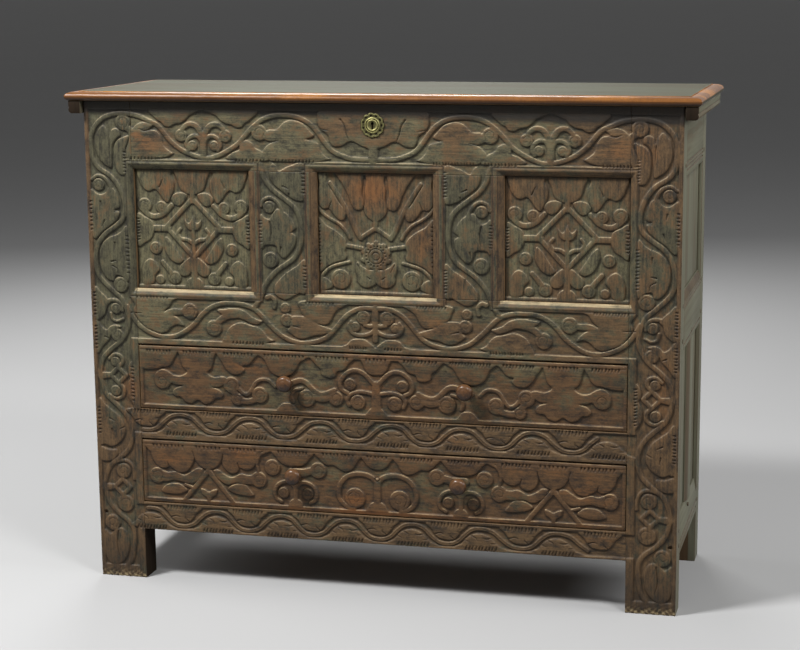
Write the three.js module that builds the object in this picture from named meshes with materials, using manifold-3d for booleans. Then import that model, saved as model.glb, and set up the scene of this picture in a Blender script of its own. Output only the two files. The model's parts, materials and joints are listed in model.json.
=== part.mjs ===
// A joined oak chest over two drawers: a framed and panelled case with a hinged lid.
// Millimetres. X runs along the front to the viewer's right, Y from the front to the back
// and Z up from the floor. Pieces are drawn with the case front at Y = 0 and the whole
// chest is then moved so that its origin is under the middle of its depth.

import * as THREE from 'three';
import { mergeVertices } from 'three/addons/utils/BufferGeometryUtils.js';
import Module from 'manifold-3d';

const wasm = await Module();
wasm.setup();

// Case
const caseLength = 1140;
const caseDepth = 394;
const caseHeight = 940;
const postWidth = 94;
const postDepth = 52;
const fitGap = 0.3;
const overrun = 6;

// Front frame: the rails keep their heights, and the legs and openings share what is left
const bottomRailHeight = 55;
const drawerRailHeight = 59;
const middleRailHeight = 108;
const topRailHeight = 129;
const legShare = 0.1715;
const drawerShare = 0.219;
const frontRailThickness = 28;
const muntinCentre = 178;
const muntinWidth = 134;

// Side frames
const bottomRailStep = 5;
const sideBottomRailHeight = 68;
const middleRailStep = 19;
const sideMiddleRailHeight = 105;
const sideTopRailHeight = 128;
const sideRailThickness = 26;
const sideMuntinWidth = 70;

// Back frame
const backRailThickness = 24;
const backTopRailHeight = 92;
const backMiddleRailHeight = 88;
const backBottomRailHeight = 66;

// Mortises and tenons
const tenonThickness = 10;
const tenonLength = 38;
const sideTenonLength = 30;
const muntinTenonLength = 26;
const tenonShoulder = 8;
const tenonHaunch = 26;
const mortiseSpare = 1;

// Panels in their grooves
const panelSetback = 11;
const sidePanelSetback = 8;
const tongueThickness = 7;
const grooveDepth = 9;
const tongueReach = 8;
const frontPanelThickness = 13;
const sidePanelThickness = 11;
const featherWidth = 28;

// Mouldings worked on the edges of the frame
const stileMouldWidth = 24;
const railMouldWidth = 17;
const mouldDepth = 8;
const mouldFillet = 1.5;
const mouldFacets = 4;
const sideBevelWidth = 14;
const sideBevelDepth = 5;
const scratchWidth = 4;
const scratchDepth = 2.4;
const scratchPitch = 7;
const scratchMargin = 10;

// Chest floor
const floorThickness = 12;
const floorLift = 22;
const floorGrooveDepth = 8;

// Drawers
const drawerFaceGap = 1.5;
const drawerTopGap = 2;
const drawerFrontThickness = 22;
const drawerBackSpace = 54;
const drawerSideThickness = 16;
const drawerSideDrop = 8;
const drawerBottomThickness = 9;
const drawerBottomLift = 5;
const drawerBottomRabbet = 8;
const drawerBackThickness = 14;
const drawerBackInset = 12;
const drawerBackDrop = 8;
const dadoDepth = 5;
const tailLength = 13;
const tailHalfHeight = 22;
const tailFlare = 5;
const runnerHeight = 12;
const runnerShare = 0.558;
const runnerWidth = 24;
const runnerNotch = 26;
const runnerStart = 3;
const runnerFloat = 1.2;
const stretcherThickness = 18;
const sideGrooveDepth = 8;
const sideGrooveSpare = 1;

// Turned knobs
const knobReach = 28;
const knobRadius = 14;
const knobNeckRadius = 7;
const knobShankRadius = 5;
const knobHoleRadius = 5.4;
const knobSides = 20;
const upperKnobSpread = 175;
const upperKnobShare = 0.512;
const lowerKnobSpread = 162;
const lowerKnobShare = 0.566;

// Lid
const lidThickness = 20;
const lidEndOverhang = 32;
const lidFrontOverhang = 16;
const lidBackOverhang = 8;
const nosingWidth = 22;
const nosingQuirk = 2.5;
const nosingShare = 0.4;
const nosingFacets = 5;
const nosingEase = 2;
const cleatThickness = 23;
const cleatHeight = 24;
const cleatClearance = 3;
const cleatEndInset = 5;
const cleatBeadWidth = 9;
const cleatBeadDepth = 5;

// Hinges
const hingeShare = 0.295;
const leafWidth = 50;
const leafLength = 38;
const leafThickness = 2;
const knuckleRadius = 4.5;
const knuckleBore = 2.4;
const hingePinRadius = 2;
const hingePinHeadRadius = 3.4;
const hingePinHeadLength = 2;
const middleKnuckleLength = 18;
const knuckleGap = 0.5;
const knuckleSides = 16;
const boreSides = 10;
const hingeClearance = 0.9;
const notchMargin = 4;

// Lock, its staple and the plate over the keyhole
const lockWidth = 110;
const lockHeight = 64;
const lockDepth = 20;
const lockWall = 2;
const lockRecessDepth = 14;
const lockTopGap = 3;
const guideThickness = 2.5;
const guideInnerPlace = 27;
const guideOuterPlace = 41.5;
const guideMargin = 5;
const boltHeight = 8;
const boltThickness = 4;
const boltLength = 46;
const boltTipPlace = 6;
const boltLegPlace = 12.5;
const boltLegWidth = 11.5;
const boltFootHeight = 7;
const boltFootClearance = 3;
const boltNotchPlace = 11;
const boltNotchWidth = 6;
const boltNotchDepth = 3.5;
const stapleBarWidth = 5;
const stapleBarThickness = 4;
const stapleEyeWidth = 6;
const stapleEyeHeight = 12;
const stapleNeck = 10;
const staplePlateLength = 44;
const staplePlateWidth = 32;
const staplePlateThickness = 2.5;
const staplePlace = 24.5;
const slotClearance = 1.6;
const keyholeDrop = 40;
const keyholeRadius = 3.6;
const keyholeSlotWidth = 4.8;
const keyholeSlotDrop = 11.4;
const keyholeSides = 12;
const rosetteRadius = 22;
const rosetteThickness = 1.8;
const rosetteLobes = 12;
const lobeRadius = 6;
const lobeSteps = 4;
const piercingRadius = 1.9;
const piercingSides = 6;
const piercingPlace = 18.5;
const outerRingRadius = 13.5;
const innerRingRadius = 8.6;
const ringHalfWidth = 1.6;
const ringHeight = 1.4;
const ringSides = 24;

// Places that follow from the sizes above
const halfLength = caseLength / 2;
const innerHalf = halfLength - postWidth;
const openHeight = caseHeight - bottomRailHeight - drawerRailHeight - middleRailHeight - topRailHeight;
const legHeight = openHeight * legShare;
const drawerOpeningHeight = openHeight * drawerShare;
const lowerOpeningBottom = legHeight + bottomRailHeight;
const drawerRailBottom = lowerOpeningBottom + drawerOpeningHeight;
const upperOpeningBottom = drawerRailBottom + drawerRailHeight;
const middleRailBottom = upperOpeningBottom + drawerOpeningHeight;
const panelBottom = middleRailBottom + middleRailHeight;
const panelTop = caseHeight - topRailHeight;
const panelOpeningHeight = panelTop - panelBottom;
const keyholeHeight = caseHeight - keyholeDrop;
const sideFront = postDepth;
const sideBack = caseDepth - postDepth;
const sideLegHeight = legHeight + bottomRailStep;
const sideMiddleRailBottom = middleRailBottom + middleRailStep;
const sideMiddleRailTop = sideMiddleRailBottom + sideMiddleRailHeight;
const sideTopRailBottom = caseHeight - sideTopRailHeight;
const sideBottomRailTop = sideLegHeight + sideBottomRailHeight;
const sideInner = halfLength - sideRailThickness;
const backTopRailBottom = caseHeight - backTopRailHeight;
const backMiddleRailTop = middleRailBottom + backMiddleRailHeight;
const backBottomRailTop = sideLegHeight + backBottomRailHeight;
const backInner = caseDepth - backRailThickness;
const lidUnderside = caseHeight + fitGap;
const hingeCentre = caseLength * hingeShare;
const hingeAxisDepth = caseDepth + fitGap + knuckleRadius;
const hingeAxisHeight = caseHeight;
const rearReach = Math.max(hingeAxisDepth + knuckleRadius, caseDepth + lidBackOverhang);

// Finishes
const frontPaint = { color: 0x6b5a45, roughness: 0.72, metalness: 0 };
const sidePaint = { color: 0x8a917c, roughness: 0.7, metalness: 0 };
const lidPaint = { color: 0x9aa594, roughness: 0.6, metalness: 0 };
const bareOak = { color: 0x9a7a52, roughness: 0.8, metalness: 0 };
const turnedOak = { color: 0x5f4330, roughness: 0.5, metalness: 0 };
const castBrass = { color: 0x8c8248, roughness: 0.45, metalness: 0.9 };
const forgedIron = { color: 0x34312e, roughness: 0.65, metalness: 0.8 };

// Solids

const { Manifold, Mesh: SolidMesh } = wasm;
const axisX = new THREE.Vector3(1, 0, 0);
const axisY = new THREE.Vector3(0, 1, 0);
const axisZ = new THREE.Vector3(0, 0, 1);
const sweepX = new THREE.Matrix4().makeBasis(axisY, axisZ, axisX);
const sweepY = new THREE.Matrix4().makeBasis(axisZ, axisX, axisY);
const sweepZ = new THREE.Matrix4();

function solidFrom(geometry) {
  geometry.deleteAttribute('normal');
  geometry.deleteAttribute('uv');
  const welded = mergeVertices(geometry);
  return new Manifold(new SolidMesh({
    numProp: 3,
    vertProperties: Float32Array.from(welded.attributes.position.array),
    triVerts: Uint32Array.from(welded.index.array),
  }));
}

function span(x0, x1, y0, y1, z0, z1) {
  const box = new THREE.BoxGeometry(Math.abs(x1 - x0), Math.abs(y1 - y0), Math.abs(z1 - z0));
  box.translate((x0 + x1) / 2, (y0 + y1) / 2, (z0 + z1) / 2);
  return solidFrom(box);
}

function sweep(outline, from, to, frame) {
  const shape = outline.isShape
    ? outline
    : new THREE.Shape(outline.map(([u, v]) => new THREE.Vector2(u, v)));
  const bar = new THREE.ExtrudeGeometry(shape, { depth: to - from, bevelEnabled: false });
  bar.translate(0, 0, from);
  bar.applyMatrix4(frame);
  return solidFrom(bar);
}

// An outline of (y, z) points run along X, of (x, z) points run along Y, or of (x, y) points run along Z
const alongX = (outline, from, to) => sweep(outline, from, to, sweepX);
const alongY = (outline, from, to) => sweep(outline.map(([x, z]) => [z, x]), from, to, sweepY);
const alongZ = (outline, from, to) => sweep(outline, from, to, sweepZ);

function rodAlongX(radius, sides, x0, x1, y, z) {
  const rod = new THREE.CylinderGeometry(radius, radius, x1 - x0, sides);
  rod.rotateZ(Math.PI / 2);
  rod.translate((x0 + x1) / 2, y, z);
  return solidFrom(rod);
}

function rodAlongY(radius, sides, x, y0, y1, z) {
  const rod = new THREE.CylinderGeometry(radius, radius, y1 - y0, sides);
  rod.translate(x, (y0 + y1) / 2, z);
  return solidFrom(rod);
}

const joined = (pieces) => pieces.reduce((whole, piece) => whole.add(piece));
const cutAll = (blank, cutters) => cutters.reduce((whole, cutter) => whole.subtract(cutter), blank);

function piece(name, solid, finish) {
  const { vertProperties, triVerts } = solid.getMesh();
  const geometry = new THREE.BufferGeometry();
  geometry.setAttribute('position', new THREE.BufferAttribute(vertProperties, 3));
  geometry.setIndex(new THREE.BufferAttribute(triVerts, 1));
  geometry.computeVertexNormals();
  const mesh = new THREE.Mesh(geometry, new THREE.MeshStandardMaterial(finish));
  mesh.name = name;
  return mesh;
}

// Heights of the rails and of their tenons

const frontRails = [
  { name: 'front_bottom_rail', bottom: legHeight, top: lowerOpeningBottom },
  { name: 'front_drawer_rail', bottom: drawerRailBottom, top: upperOpeningBottom },
  { name: 'front_middle_rail', bottom: middleRailBottom, top: panelBottom },
  { name: 'front_top_rail', bottom: panelTop, top: caseHeight },
];
const sideRails = [
  { name: 'bottom_rail', bottom: sideLegHeight, top: sideBottomRailTop },
  { name: 'middle_rail', bottom: sideMiddleRailBottom, top: sideMiddleRailTop },
  { name: 'top_rail', bottom: sideTopRailBottom, top: caseHeight },
];
const backRails = [
  { name: 'back_bottom_rail', bottom: sideLegHeight, top: backBottomRailTop },
  { name: 'back_middle_rail', bottom: middleRailBottom, top: backMiddleRailTop },
  { name: 'back_top_rail', bottom: backTopRailBottom, top: caseHeight },
];

function tenonRange(rail) {
  const upperShoulder = rail.top === caseHeight ? tenonHaunch : tenonShoulder;
  return [rail.bottom + tenonShoulder, rail.top - upperShoulder];
}

// Tenons stand level with the panel grooves, so that one setting of the plough serves both
const frontTenonDepths = [panelSetback, panelSetback + tenonThickness];
const backFace = caseDepth - sidePanelSetback;
const backTenonDepths = [backFace - tenonThickness, backFace];
const sideFace = halfLength - sidePanelSetback;

function widened([low, high], gap) {
  return [low - gap, high + gap];
}

// Grooves for the panel tongues, cut in the edges that face a panel
const frontGroove = widened([panelSetback, panelSetback + tongueThickness], fitGap);
const backGroove = widened([backFace - tongueThickness, backFace], fitGap);
const sideGroove = widened([sideFace - tongueThickness, sideFace], fitGap);

// The three front openings, each cut back to a moulded edge that mitres in its corners
const frontOpenings = [
  { name: 'left', left: -innerHalf, right: -muntinCentre - muntinWidth / 2 },
  { name: 'centre', left: -muntinCentre + muntinWidth / 2, right: muntinCentre - muntinWidth / 2 },
  { name: 'right', left: muntinCentre + muntinWidth / 2, right: innerHalf },
];

function ovolo(outer, sight) {
  const curve = [[-overrun, outer], [mouldFillet, outer]];
  for (let facet = 1; facet <= mouldFacets; facet += 1) {
    const turn = (facet / mouldFacets) * (Math.PI / 2);
    const depth = mouldDepth - (mouldDepth - mouldFillet) * Math.cos(turn);
    curve.push([depth, outer + (sight - outer) * Math.sin(turn)]);
  }
  return curve;
}

function openingCutter({ left, right }) {
  const sill = ovolo(panelBottom - railMouldWidth, panelBottom);
  const head = ovolo(panelTop + railMouldWidth, panelTop).reverse();
  const leftEdge = ovolo(left - stileMouldWidth, left);
  const rightEdge = ovolo(right + stileMouldWidth, right).reverse();
  const rails = alongX([...sill, ...head], left - postWidth, right + postWidth);
  const stiles = [...leftEdge, ...rightEdge].map(([depth, x]) => [x, depth]);
  return rails.intersect(alongZ(stiles, panelBottom - postWidth, panelTop + postWidth));
}

const openingCutters = frontOpenings.map(openingCutter);

// Posts: the four corner posts run from the floor to the lid and take every mortise

const sideTenonX = [sideFace - tenonThickness, sideFace];

function sideMortises(side, face, inward) {
  const depth = inward * (sideTenonLength + mortiseSpare);
  const [x0, x1] = widened(sideTenonX, fitGap);
  return sideRails.map((rail) => {
    const [z0, z1] = widened(tenonRange(rail), fitGap);
    return span(side * x0, side * x1, face - inward * overrun, face + depth, z0, z1);
  });
}

function sidePanelGrooves(side, face, inward) {
  const [x0, x1] = sideGroove;
  const runs = [
    [sideBottomRailTop, sideMiddleRailBottom],
    [sideMiddleRailTop, sideTopRailBottom],
  ];
  return runs.map(([low, high]) => span(
    side * x0,
    side * x1,
    face - inward * overrun,
    face + inward * grooveDepth,
    low - grooveDepth,
    high + grooveDepth,
  ));
}

function railMortises(rails, side, depths) {
  const [y0, y1] = widened(depths, fitGap);
  const end = side * (innerHalf + tenonLength + mortiseSpare);
  return rails.map((rail) => {
    const [z0, z1] = widened(tenonRange(rail), fitGap);
    return span(side * (innerHalf - overrun), end, y0, y1, z0, z1);
  });
}

function frontPost(side) {
  const blank = span(side * innerHalf, side * halfLength, 0, postDepth, 0, caseHeight);
  const panelGroove = span(
    side * (innerHalf - overrun),
    side * (innerHalf + grooveDepth),
    frontGroove[0],
    frontGroove[1],
    panelBottom - grooveDepth,
    panelTop + grooveDepth,
  );
  return cutAll(blank, [
    panelGroove,
    openingCutters[side < 0 ? 0 : 2],
    ...railMortises(frontRails, side, frontTenonDepths),
    ...sideMortises(side, sideFront, -1),
    ...sidePanelGrooves(side, sideFront, -1),
  ]);
}

function rearPost(side) {
  const blank = span(side * innerHalf, side * halfLength, sideBack, caseDepth, 0, caseHeight);
  const runs = [
    [backBottomRailTop, middleRailBottom],
    [backMiddleRailTop, backTopRailBottom],
  ];
  const panelGrooves = runs.map(([low, high]) => span(
    side * (innerHalf - overrun),
    side * (innerHalf + grooveDepth),
    backGroove[0],
    backGroove[1],
    low - grooveDepth,
    high + grooveDepth,
  ));
  return cutAll(blank, [
    ...panelGrooves,
    ...railMortises(backRails, side, backTenonDepths),
    ...sideMortises(side, sideBack, 1),
    ...sidePanelGrooves(side, sideBack, 1),
  ]);
}

// Front rails: four rails tenoned between the front posts, flush with their faces

function keyholeCutter(y0, y1) {
  const slot = span(
    -keyholeSlotWidth / 2,
    keyholeSlotWidth / 2,
    y0,
    y1,
    keyholeHeight - keyholeSlotDrop,
    keyholeHeight,
  );
  return slot.add(rodAlongY(keyholeRadius, keyholeSides, 0, y0, y1, keyholeHeight));
}

const lockTop = caseHeight - lockTopGap;
const lockFront = lockRecessDepth;
const lockBack = lockFront + fitGap + lockDepth;
const lockBottom = lockTop - lockHeight;

function muntinMortise(side, edge, upward) {
  const half = muntinWidth / 2 - stileMouldWidth + fitGap;
  const [y0, y1] = widened(frontTenonDepths, fitGap);
  return span(
    side * muntinCentre - half,
    side * muntinCentre + half,
    y0,
    y1,
    edge - upward * overrun,
    edge + upward * (muntinTenonLength + mortiseSpare),
  );
}

function railWithTenons(rail, y0, y1, depths) {
  const [low, high] = tenonRange(rail);
  const shoulder = innerHalf - fitGap;
  const body = span(-shoulder, shoulder, y0, y1, rail.bottom, rail.top);
  const end = innerHalf + tenonLength;
  return body.add(span(-end, end, depths[0], depths[1], low, high));
}

function railGroove(depths, edge, upward) {
  return span(
    -innerHalf,
    innerHalf,
    depths[0],
    depths[1],
    edge - upward * overrun,
    edge + upward * grooveDepth,
  );
}

const floorHeight = middleRailBottom + floorLift;
const floorTop = floorHeight + floorThickness;
const floorGroove = widened([floorHeight, floorTop], fitGap);

function frontRail(rail) {
  const cutters = [];
  if (rail.bottom === panelTop) {
    cutters.push(
      railGroove(frontGroove, panelTop, 1),
      muntinMortise(-1, panelTop, 1),
      muntinMortise(1, panelTop, 1),
      ...openingCutters,
      keyholeCutter(-overrun, frontRailThickness + overrun),
      span(
        -lockWidth / 2 - fitGap,
        lockWidth / 2 + fitGap,
        lockFront,
        frontRailThickness + overrun,
        lockBottom - fitGap,
        caseHeight + overrun,
      ),
    );
  }
  if (rail.top === panelBottom) {
    cutters.push(
      railGroove(frontGroove, panelBottom, -1),
      muntinMortise(-1, panelBottom, -1),
      muntinMortise(1, panelBottom, -1),
      ...openingCutters,
      span(
        -innerHalf,
        innerHalf,
        frontRailThickness - floorGrooveDepth,
        frontRailThickness + overrun,
        floorGroove[0],
        floorGroove[1],
      ),
    );
  }
  return cutAll(railWithTenons(rail, 0, frontRailThickness, frontTenonDepths), cutters);
}

// Front muntins: short uprights between the top and middle rails, grooved on both edges

function frontMuntin(side) {
  const centre = side * muntinCentre;
  const half = muntinWidth / 2;
  const tenonHalf = half - stileMouldWidth;
  const body = span(centre - half, centre + half, 0, frontRailThickness, panelBottom + fitGap, panelTop - fitGap);
  const tenons = span(
    centre - tenonHalf,
    centre + tenonHalf,
    frontTenonDepths[0],
    frontTenonDepths[1],
    panelBottom - muntinTenonLength,
    panelTop + muntinTenonLength,
  );
  const grooves = [-1, 1].map((edge) => span(
    centre + edge * (half - grooveDepth),
    centre + edge * (half + overrun),
    frontGroove[0],
    frontGroove[1],
    panelBottom,
    panelTop,
  ));
  return cutAll(body.add(tenons), [...grooves, ...openingCutters]);
}

// Panels: riven boards, flat on the face, feathered behind to a tongue all round.
// Each is drawn about its own middle with its face at y = 0 and its lower sight edge at z = 0.

function featheredEdge(low, high, thickness) {
  const reach = tongueReach;
  return [
    [0, low - reach],
    [tongueThickness, low - reach],
    [tongueThickness, low + fitGap],
    [thickness, low + featherWidth],
    [thickness, high - featherWidth],
    [tongueThickness, high - fitGap],
    [tongueThickness, high + reach],
    [0, high + reach],
  ];
}

function panelSolid(width, height, thickness) {
  const upright = alongX(featheredEdge(0, height, thickness), -width, width);
  const across = featheredEdge(-width / 2, width / 2, thickness).map(([y, x]) => [x, y]);
  return upright.intersect(alongZ(across, -height, height * 2));
}

// Side rails: moulded along their length, tenoned into the posts

function scratchedFace(side, places) {
  return places.flatMap((z) => [
    [side * halfLength, z - scratchWidth / 2],
    [side * (halfLength - scratchDepth), z],
    [side * halfLength, z + scratchWidth / 2],
  ]);
}

function sideRail(rail, side) {
  const inner = side * sideInner;
  const outer = side * halfLength;
  const bevelled = side * (halfLength - sideBevelDepth);
  const outline = [[inner, rail.bottom]];
  if (rail.name === 'bottom_rail') {
    const first = rail.bottom + scratchMargin;
    outline.push([outer, rail.bottom], ...scratchedFace(side, [first, first + scratchPitch * 2]));
    outline.push([outer, rail.top - sideBevelWidth * 2], [bevelled, rail.top]);
  } else if (rail.name === 'middle_rail') {
    const first = rail.top - sideBevelWidth - scratchWidth;
    outline.push([outer, rail.bottom], ...scratchedFace(side, [rail.bottom + scratchMargin]));
    outline.push(...scratchedFace(side, [first - scratchPitch, first]));
    outline.push([outer, rail.top - sideBevelWidth], [bevelled, rail.top]);
  } else {
    const first = rail.bottom + scratchMargin;
    outline.push([outer, rail.bottom]);
    outline.push(...scratchedFace(side, [first, first + scratchPitch, first + scratchPitch * 2]));
    outline.push([outer, rail.top]);
  }
  outline.push([inner, rail.top]);
  const body = alongY(outline, sideFront + fitGap, sideBack - fitGap);
  const [low, high] = tenonRange(rail);
  const tenons = span(
    side * sideTenonX[0],
    side * sideTenonX[1],
    sideFront - sideTenonLength,
    sideBack + sideTenonLength,
    low,
    high,
  );
  const grooveEdges = [];
  if (rail.name !== 'bottom_rail') {
    grooveEdges.push([rail.bottom, 1]);
  }
  if (rail.name !== 'top_rail') {
    grooveEdges.push([rail.top, -1]);
  }
  const grooves = grooveEdges.map(([edge, upward]) => span(
    side * sideGroove[0],
    side * sideGroove[1],
    sideFront,
    sideBack,
    edge - upward * overrun,
    edge + upward * grooveDepth,
  ));
  const mortises = [];
  if (rail.name !== 'top_rail') {
    const [edge, inward] = rail.name === 'bottom_rail' ? [rail.top, -1] : [rail.bottom, 1];
    const half = sideMuntinWidth / 2 - sideBevelWidth + fitGap;
    const [x0, x1] = widened(sideTenonX, fitGap);
    mortises.push(span(
      side * x0,
      side * x1,
      caseDepth / 2 - half,
      caseDepth / 2 + half,
      edge - inward * overrun,
      edge + inward * (muntinTenonLength + mortiseSpare),
    ));
  }
  return cutAll(body.add(tenons), [...grooves, ...mortises]);
}

// Side muntins: one between the two lower panels on each side, chamfered on both edges

function sideMuntin(side) {
  const middle = caseDepth / 2;
  const half = sideMuntinWidth / 2;
  const outline = [
    [side * sideInner, middle - half],
    [side * (halfLength - sideBevelDepth), middle - half],
    [side * halfLength, middle - half + sideBevelWidth],
    [side * halfLength, middle + half - sideBevelWidth],
    [side * (halfLength - sideBevelDepth), middle + half],
    [side * sideInner, middle + half],
  ];
  const body = alongZ(outline, sideBottomRailTop + fitGap, sideMiddleRailBottom - fitGap);
  const tenons = span(
    side * sideTenonX[0],
    side * sideTenonX[1],
    middle - half + sideBevelWidth,
    middle + half - sideBevelWidth,
    sideBottomRailTop - muntinTenonLength,
    sideMiddleRailBottom + muntinTenonLength,
  );
  const grooves = [-1, 1].map((edge) => span(
    side * sideGroove[0],
    side * sideGroove[1],
    middle + edge * (half - grooveDepth),
    middle + edge * (half + overrun),
    sideBottomRailTop,
    sideMiddleRailBottom,
  ));
  return cutAll(body.add(tenons), grooves);
}

// Back rails: plain rails flush with the back, grooved for two wide panels

function backRail(rail) {
  const cutters = [];
  if (rail.top < caseHeight) {
    cutters.push(railGroove(backGroove, rail.top, -1));
  }
  if (rail.bottom > sideLegHeight) {
    cutters.push(railGroove(backGroove, rail.bottom, 1));
  }
  if (rail.name === 'back_middle_rail') {
    cutters.push(span(
      -innerHalf,
      innerHalf,
      backInner - overrun,
      backInner + floorGrooveDepth,
      floorGroove[0],
      floorGroove[1],
    ));
  }
  return cutAll(railWithTenons(rail, backInner, caseDepth, backTenonDepths), cutters);
}

// Chest floor: a glued-up board held in grooves at the front and back and notched round the posts

function chestFloor() {
  const front = frontRailThickness - floorGrooveDepth + fitGap;
  const back = backInner + floorGrooveDepth - fitGap;
  const reach = sideInner - fitGap;
  const corners = [-1, 1].flatMap((side) => [
    span(side * (innerHalf - fitGap), side * halfLength, 0, postDepth + fitGap, 0, caseHeight),
    span(side * (innerHalf - fitGap), side * halfLength, sideBack - fitGap, caseDepth, 0, caseHeight),
  ]);
  return cutAll(span(-reach, reach, front, back, floorHeight, floorTop), corners);
}

// Runner frames: two bars notched between the posts, joined behind by a stretcher, with lips
// that stand in the grooves of the drawer sides and carry the drawer

const drawerOuter = innerHalf - drawerFaceGap;
const runnerTop = drawerOpeningHeight * runnerShare;

function runnerFrame(openingBottom) {
  const lip = drawerOuter - sideGrooveDepth + sideGrooveSpare;
  const post = innerHalf - fitGap;
  const top = openingBottom + runnerTop;
  const back = sideBack + runnerNotch;
  const stretcher = span(-post, post, back - stretcherThickness, back, top - runnerHeight, top);
  const bars = [-1, 1].map((side) => {
    const outline = [
      [lip, drawerFrontThickness + runnerStart],
      [post, drawerFrontThickness + runnerStart],
      [post, sideFront + fitGap],
      [post + runnerWidth, sideFront + fitGap],
      [post + runnerWidth, sideBack - fitGap],
      [post, sideBack - fitGap],
      [post, back],
      [lip, back],
    ].map(([x, y]) => [side * x, y]);
    return alongZ(outline, top - runnerHeight, top);
  });
  return joined([stretcher, ...bars]);
}

// Drawers, drawn with the front face at y = 0 and the bottom of the opening at z = 0

const drawerLength = caseDepth - drawerBackSpace;
const drawerFrontTop = drawerOpeningHeight - drawerTopGap;
const drawerSideBottom = drawerBottomLift + drawerBottomThickness + fitGap;
const drawerSideTop = drawerFrontTop - drawerSideDrop;
const drawerSideMiddle = (drawerSideBottom + drawerSideTop) / 2;
const drawerInner = drawerOuter - drawerSideThickness;
const drawerBackFace = drawerLength - drawerBackInset;

function tail(side, gap) {
  const outer = drawerOuter + (gap > 0 ? overrun : 0);
  const root = tailHalfHeight + gap;
  const tip = tailHalfHeight + tailFlare + gap;
  const shoulder = drawerFrontThickness + overrun;
  const flareBack = (tip - root) * ((shoulder - drawerFrontThickness) / tailLength);
  const nose = drawerFrontThickness - tailLength - gap;
  const outline = [
    [shoulder, drawerSideMiddle - root + flareBack],
    [nose, drawerSideMiddle - tip],
    [nose, drawerSideMiddle + tip],
    [shoulder, drawerSideMiddle + root - flareBack],
  ];
  const ends = [side * (drawerInner - gap), side * outer].sort((a, b) => a - b);
  return alongX(outline, ends[0], ends[1]);
}

function drawerFront(knobSpread, knobHeight) {
  const blank = span(-drawerOuter, drawerOuter, 0, drawerFrontThickness, drawerTopGap, drawerFrontTop);
  const rabbet = span(
    -halfLength,
    halfLength,
    drawerFrontThickness - drawerBottomRabbet,
    drawerFrontThickness + overrun,
    0,
    drawerSideBottom,
  );
  const holes = [-1, 1].map((side) => rodAlongY(
    knobHoleRadius,
    knobSides,
    side * knobSpread,
    -overrun,
    drawerFrontThickness + overrun,
    knobHeight,
  ));
  return cutAll(blank, [rabbet, tail(-1, fitGap), tail(1, fitGap), ...holes]);
}

function drawerSide(side) {
  const board = span(
    side * drawerInner,
    side * drawerOuter,
    drawerFrontThickness + fitGap,
    drawerLength,
    drawerSideBottom,
    drawerSideTop,
  );
  const groove = span(
    side * (drawerOuter - sideGrooveDepth),
    side * (drawerOuter + overrun),
    drawerFrontThickness + fitGap,
    drawerLength + overrun,
    runnerTop - runnerHeight - runnerFloat,
    runnerTop + fitGap,
  );
  const dado = span(
    side * (drawerInner - overrun),
    side * (drawerInner + dadoDepth),
    drawerBackFace - drawerBackThickness - fitGap,
    drawerBackFace + fitGap,
    drawerSideBottom - overrun,
    drawerSideTop + overrun,
  );
  return cutAll(board.add(tail(side, 0)), [groove, dado]);
}

function drawerBack() {
  const end = drawerInner + dadoDepth - fitGap;
  const top = drawerSideTop - drawerBackDrop;
  return span(-end, end, drawerBackFace - drawerBackThickness, drawerBackFace, drawerSideBottom, top);
}

function drawerBottom() {
  return span(
    -drawerOuter,
    drawerOuter,
    drawerFrontThickness - drawerBottomRabbet + fitGap,
    drawerLength,
    drawerBottomLift,
    drawerSideBottom - fitGap,
  );
}

// Knobs: turned in one piece with a shank that passes through the drawer front

function knobGeometry() {
  const neck = knobReach * 0.3;
  const bulge = knobReach - neck;
  const profile = [
    new THREE.Vector2(0, -drawerFrontThickness),
    new THREE.Vector2(knobShankRadius, -drawerFrontThickness),
    new THREE.Vector2(knobShankRadius, fitGap),
    new THREE.Vector2(knobNeckRadius + fitGap, fitGap),
    new THREE.Vector2(knobNeckRadius, neck / 2),
    new THREE.Vector2(knobNeckRadius + fitGap, neck),
  ];
  const steps = 5;
  for (let step = 0; step <= steps; step += 1) {
    const turn = (step / steps - 1 / 3) * (Math.PI * 3 / 4);
    const radius = step === steps ? 0 : knobRadius * Math.cos(turn);
    profile.push(new THREE.Vector2(radius, neck + bulge / 2 + (bulge / 2) * Math.sin(turn)));
  }
  const turned = new THREE.LatheGeometry(profile, knobSides);
  turned.rotateX(Math.PI);
  return turned;
}

// Lid: one wide board with a thumbnail edge on the front and both ends

function thumbnail(edge, inward) {
  const curve = [[edge + inward * nosingEase, 0], [edge, nosingEase]];
  const spring = lidThickness * nosingShare;
  const rise = lidThickness - nosingQuirk - spring;
  for (let facet = 0; facet <= nosingFacets; facet += 1) {
    const turn = (facet / nosingFacets) * (Math.PI / 2);
    curve.push([edge + inward * nosingWidth * (1 - Math.cos(turn)), spring + rise * Math.sin(turn)]);
  }
  curve.push([edge + inward * nosingWidth, lidThickness]);
  return curve.map(([place, height]) => [place, lidUnderside + height]);
}

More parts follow.
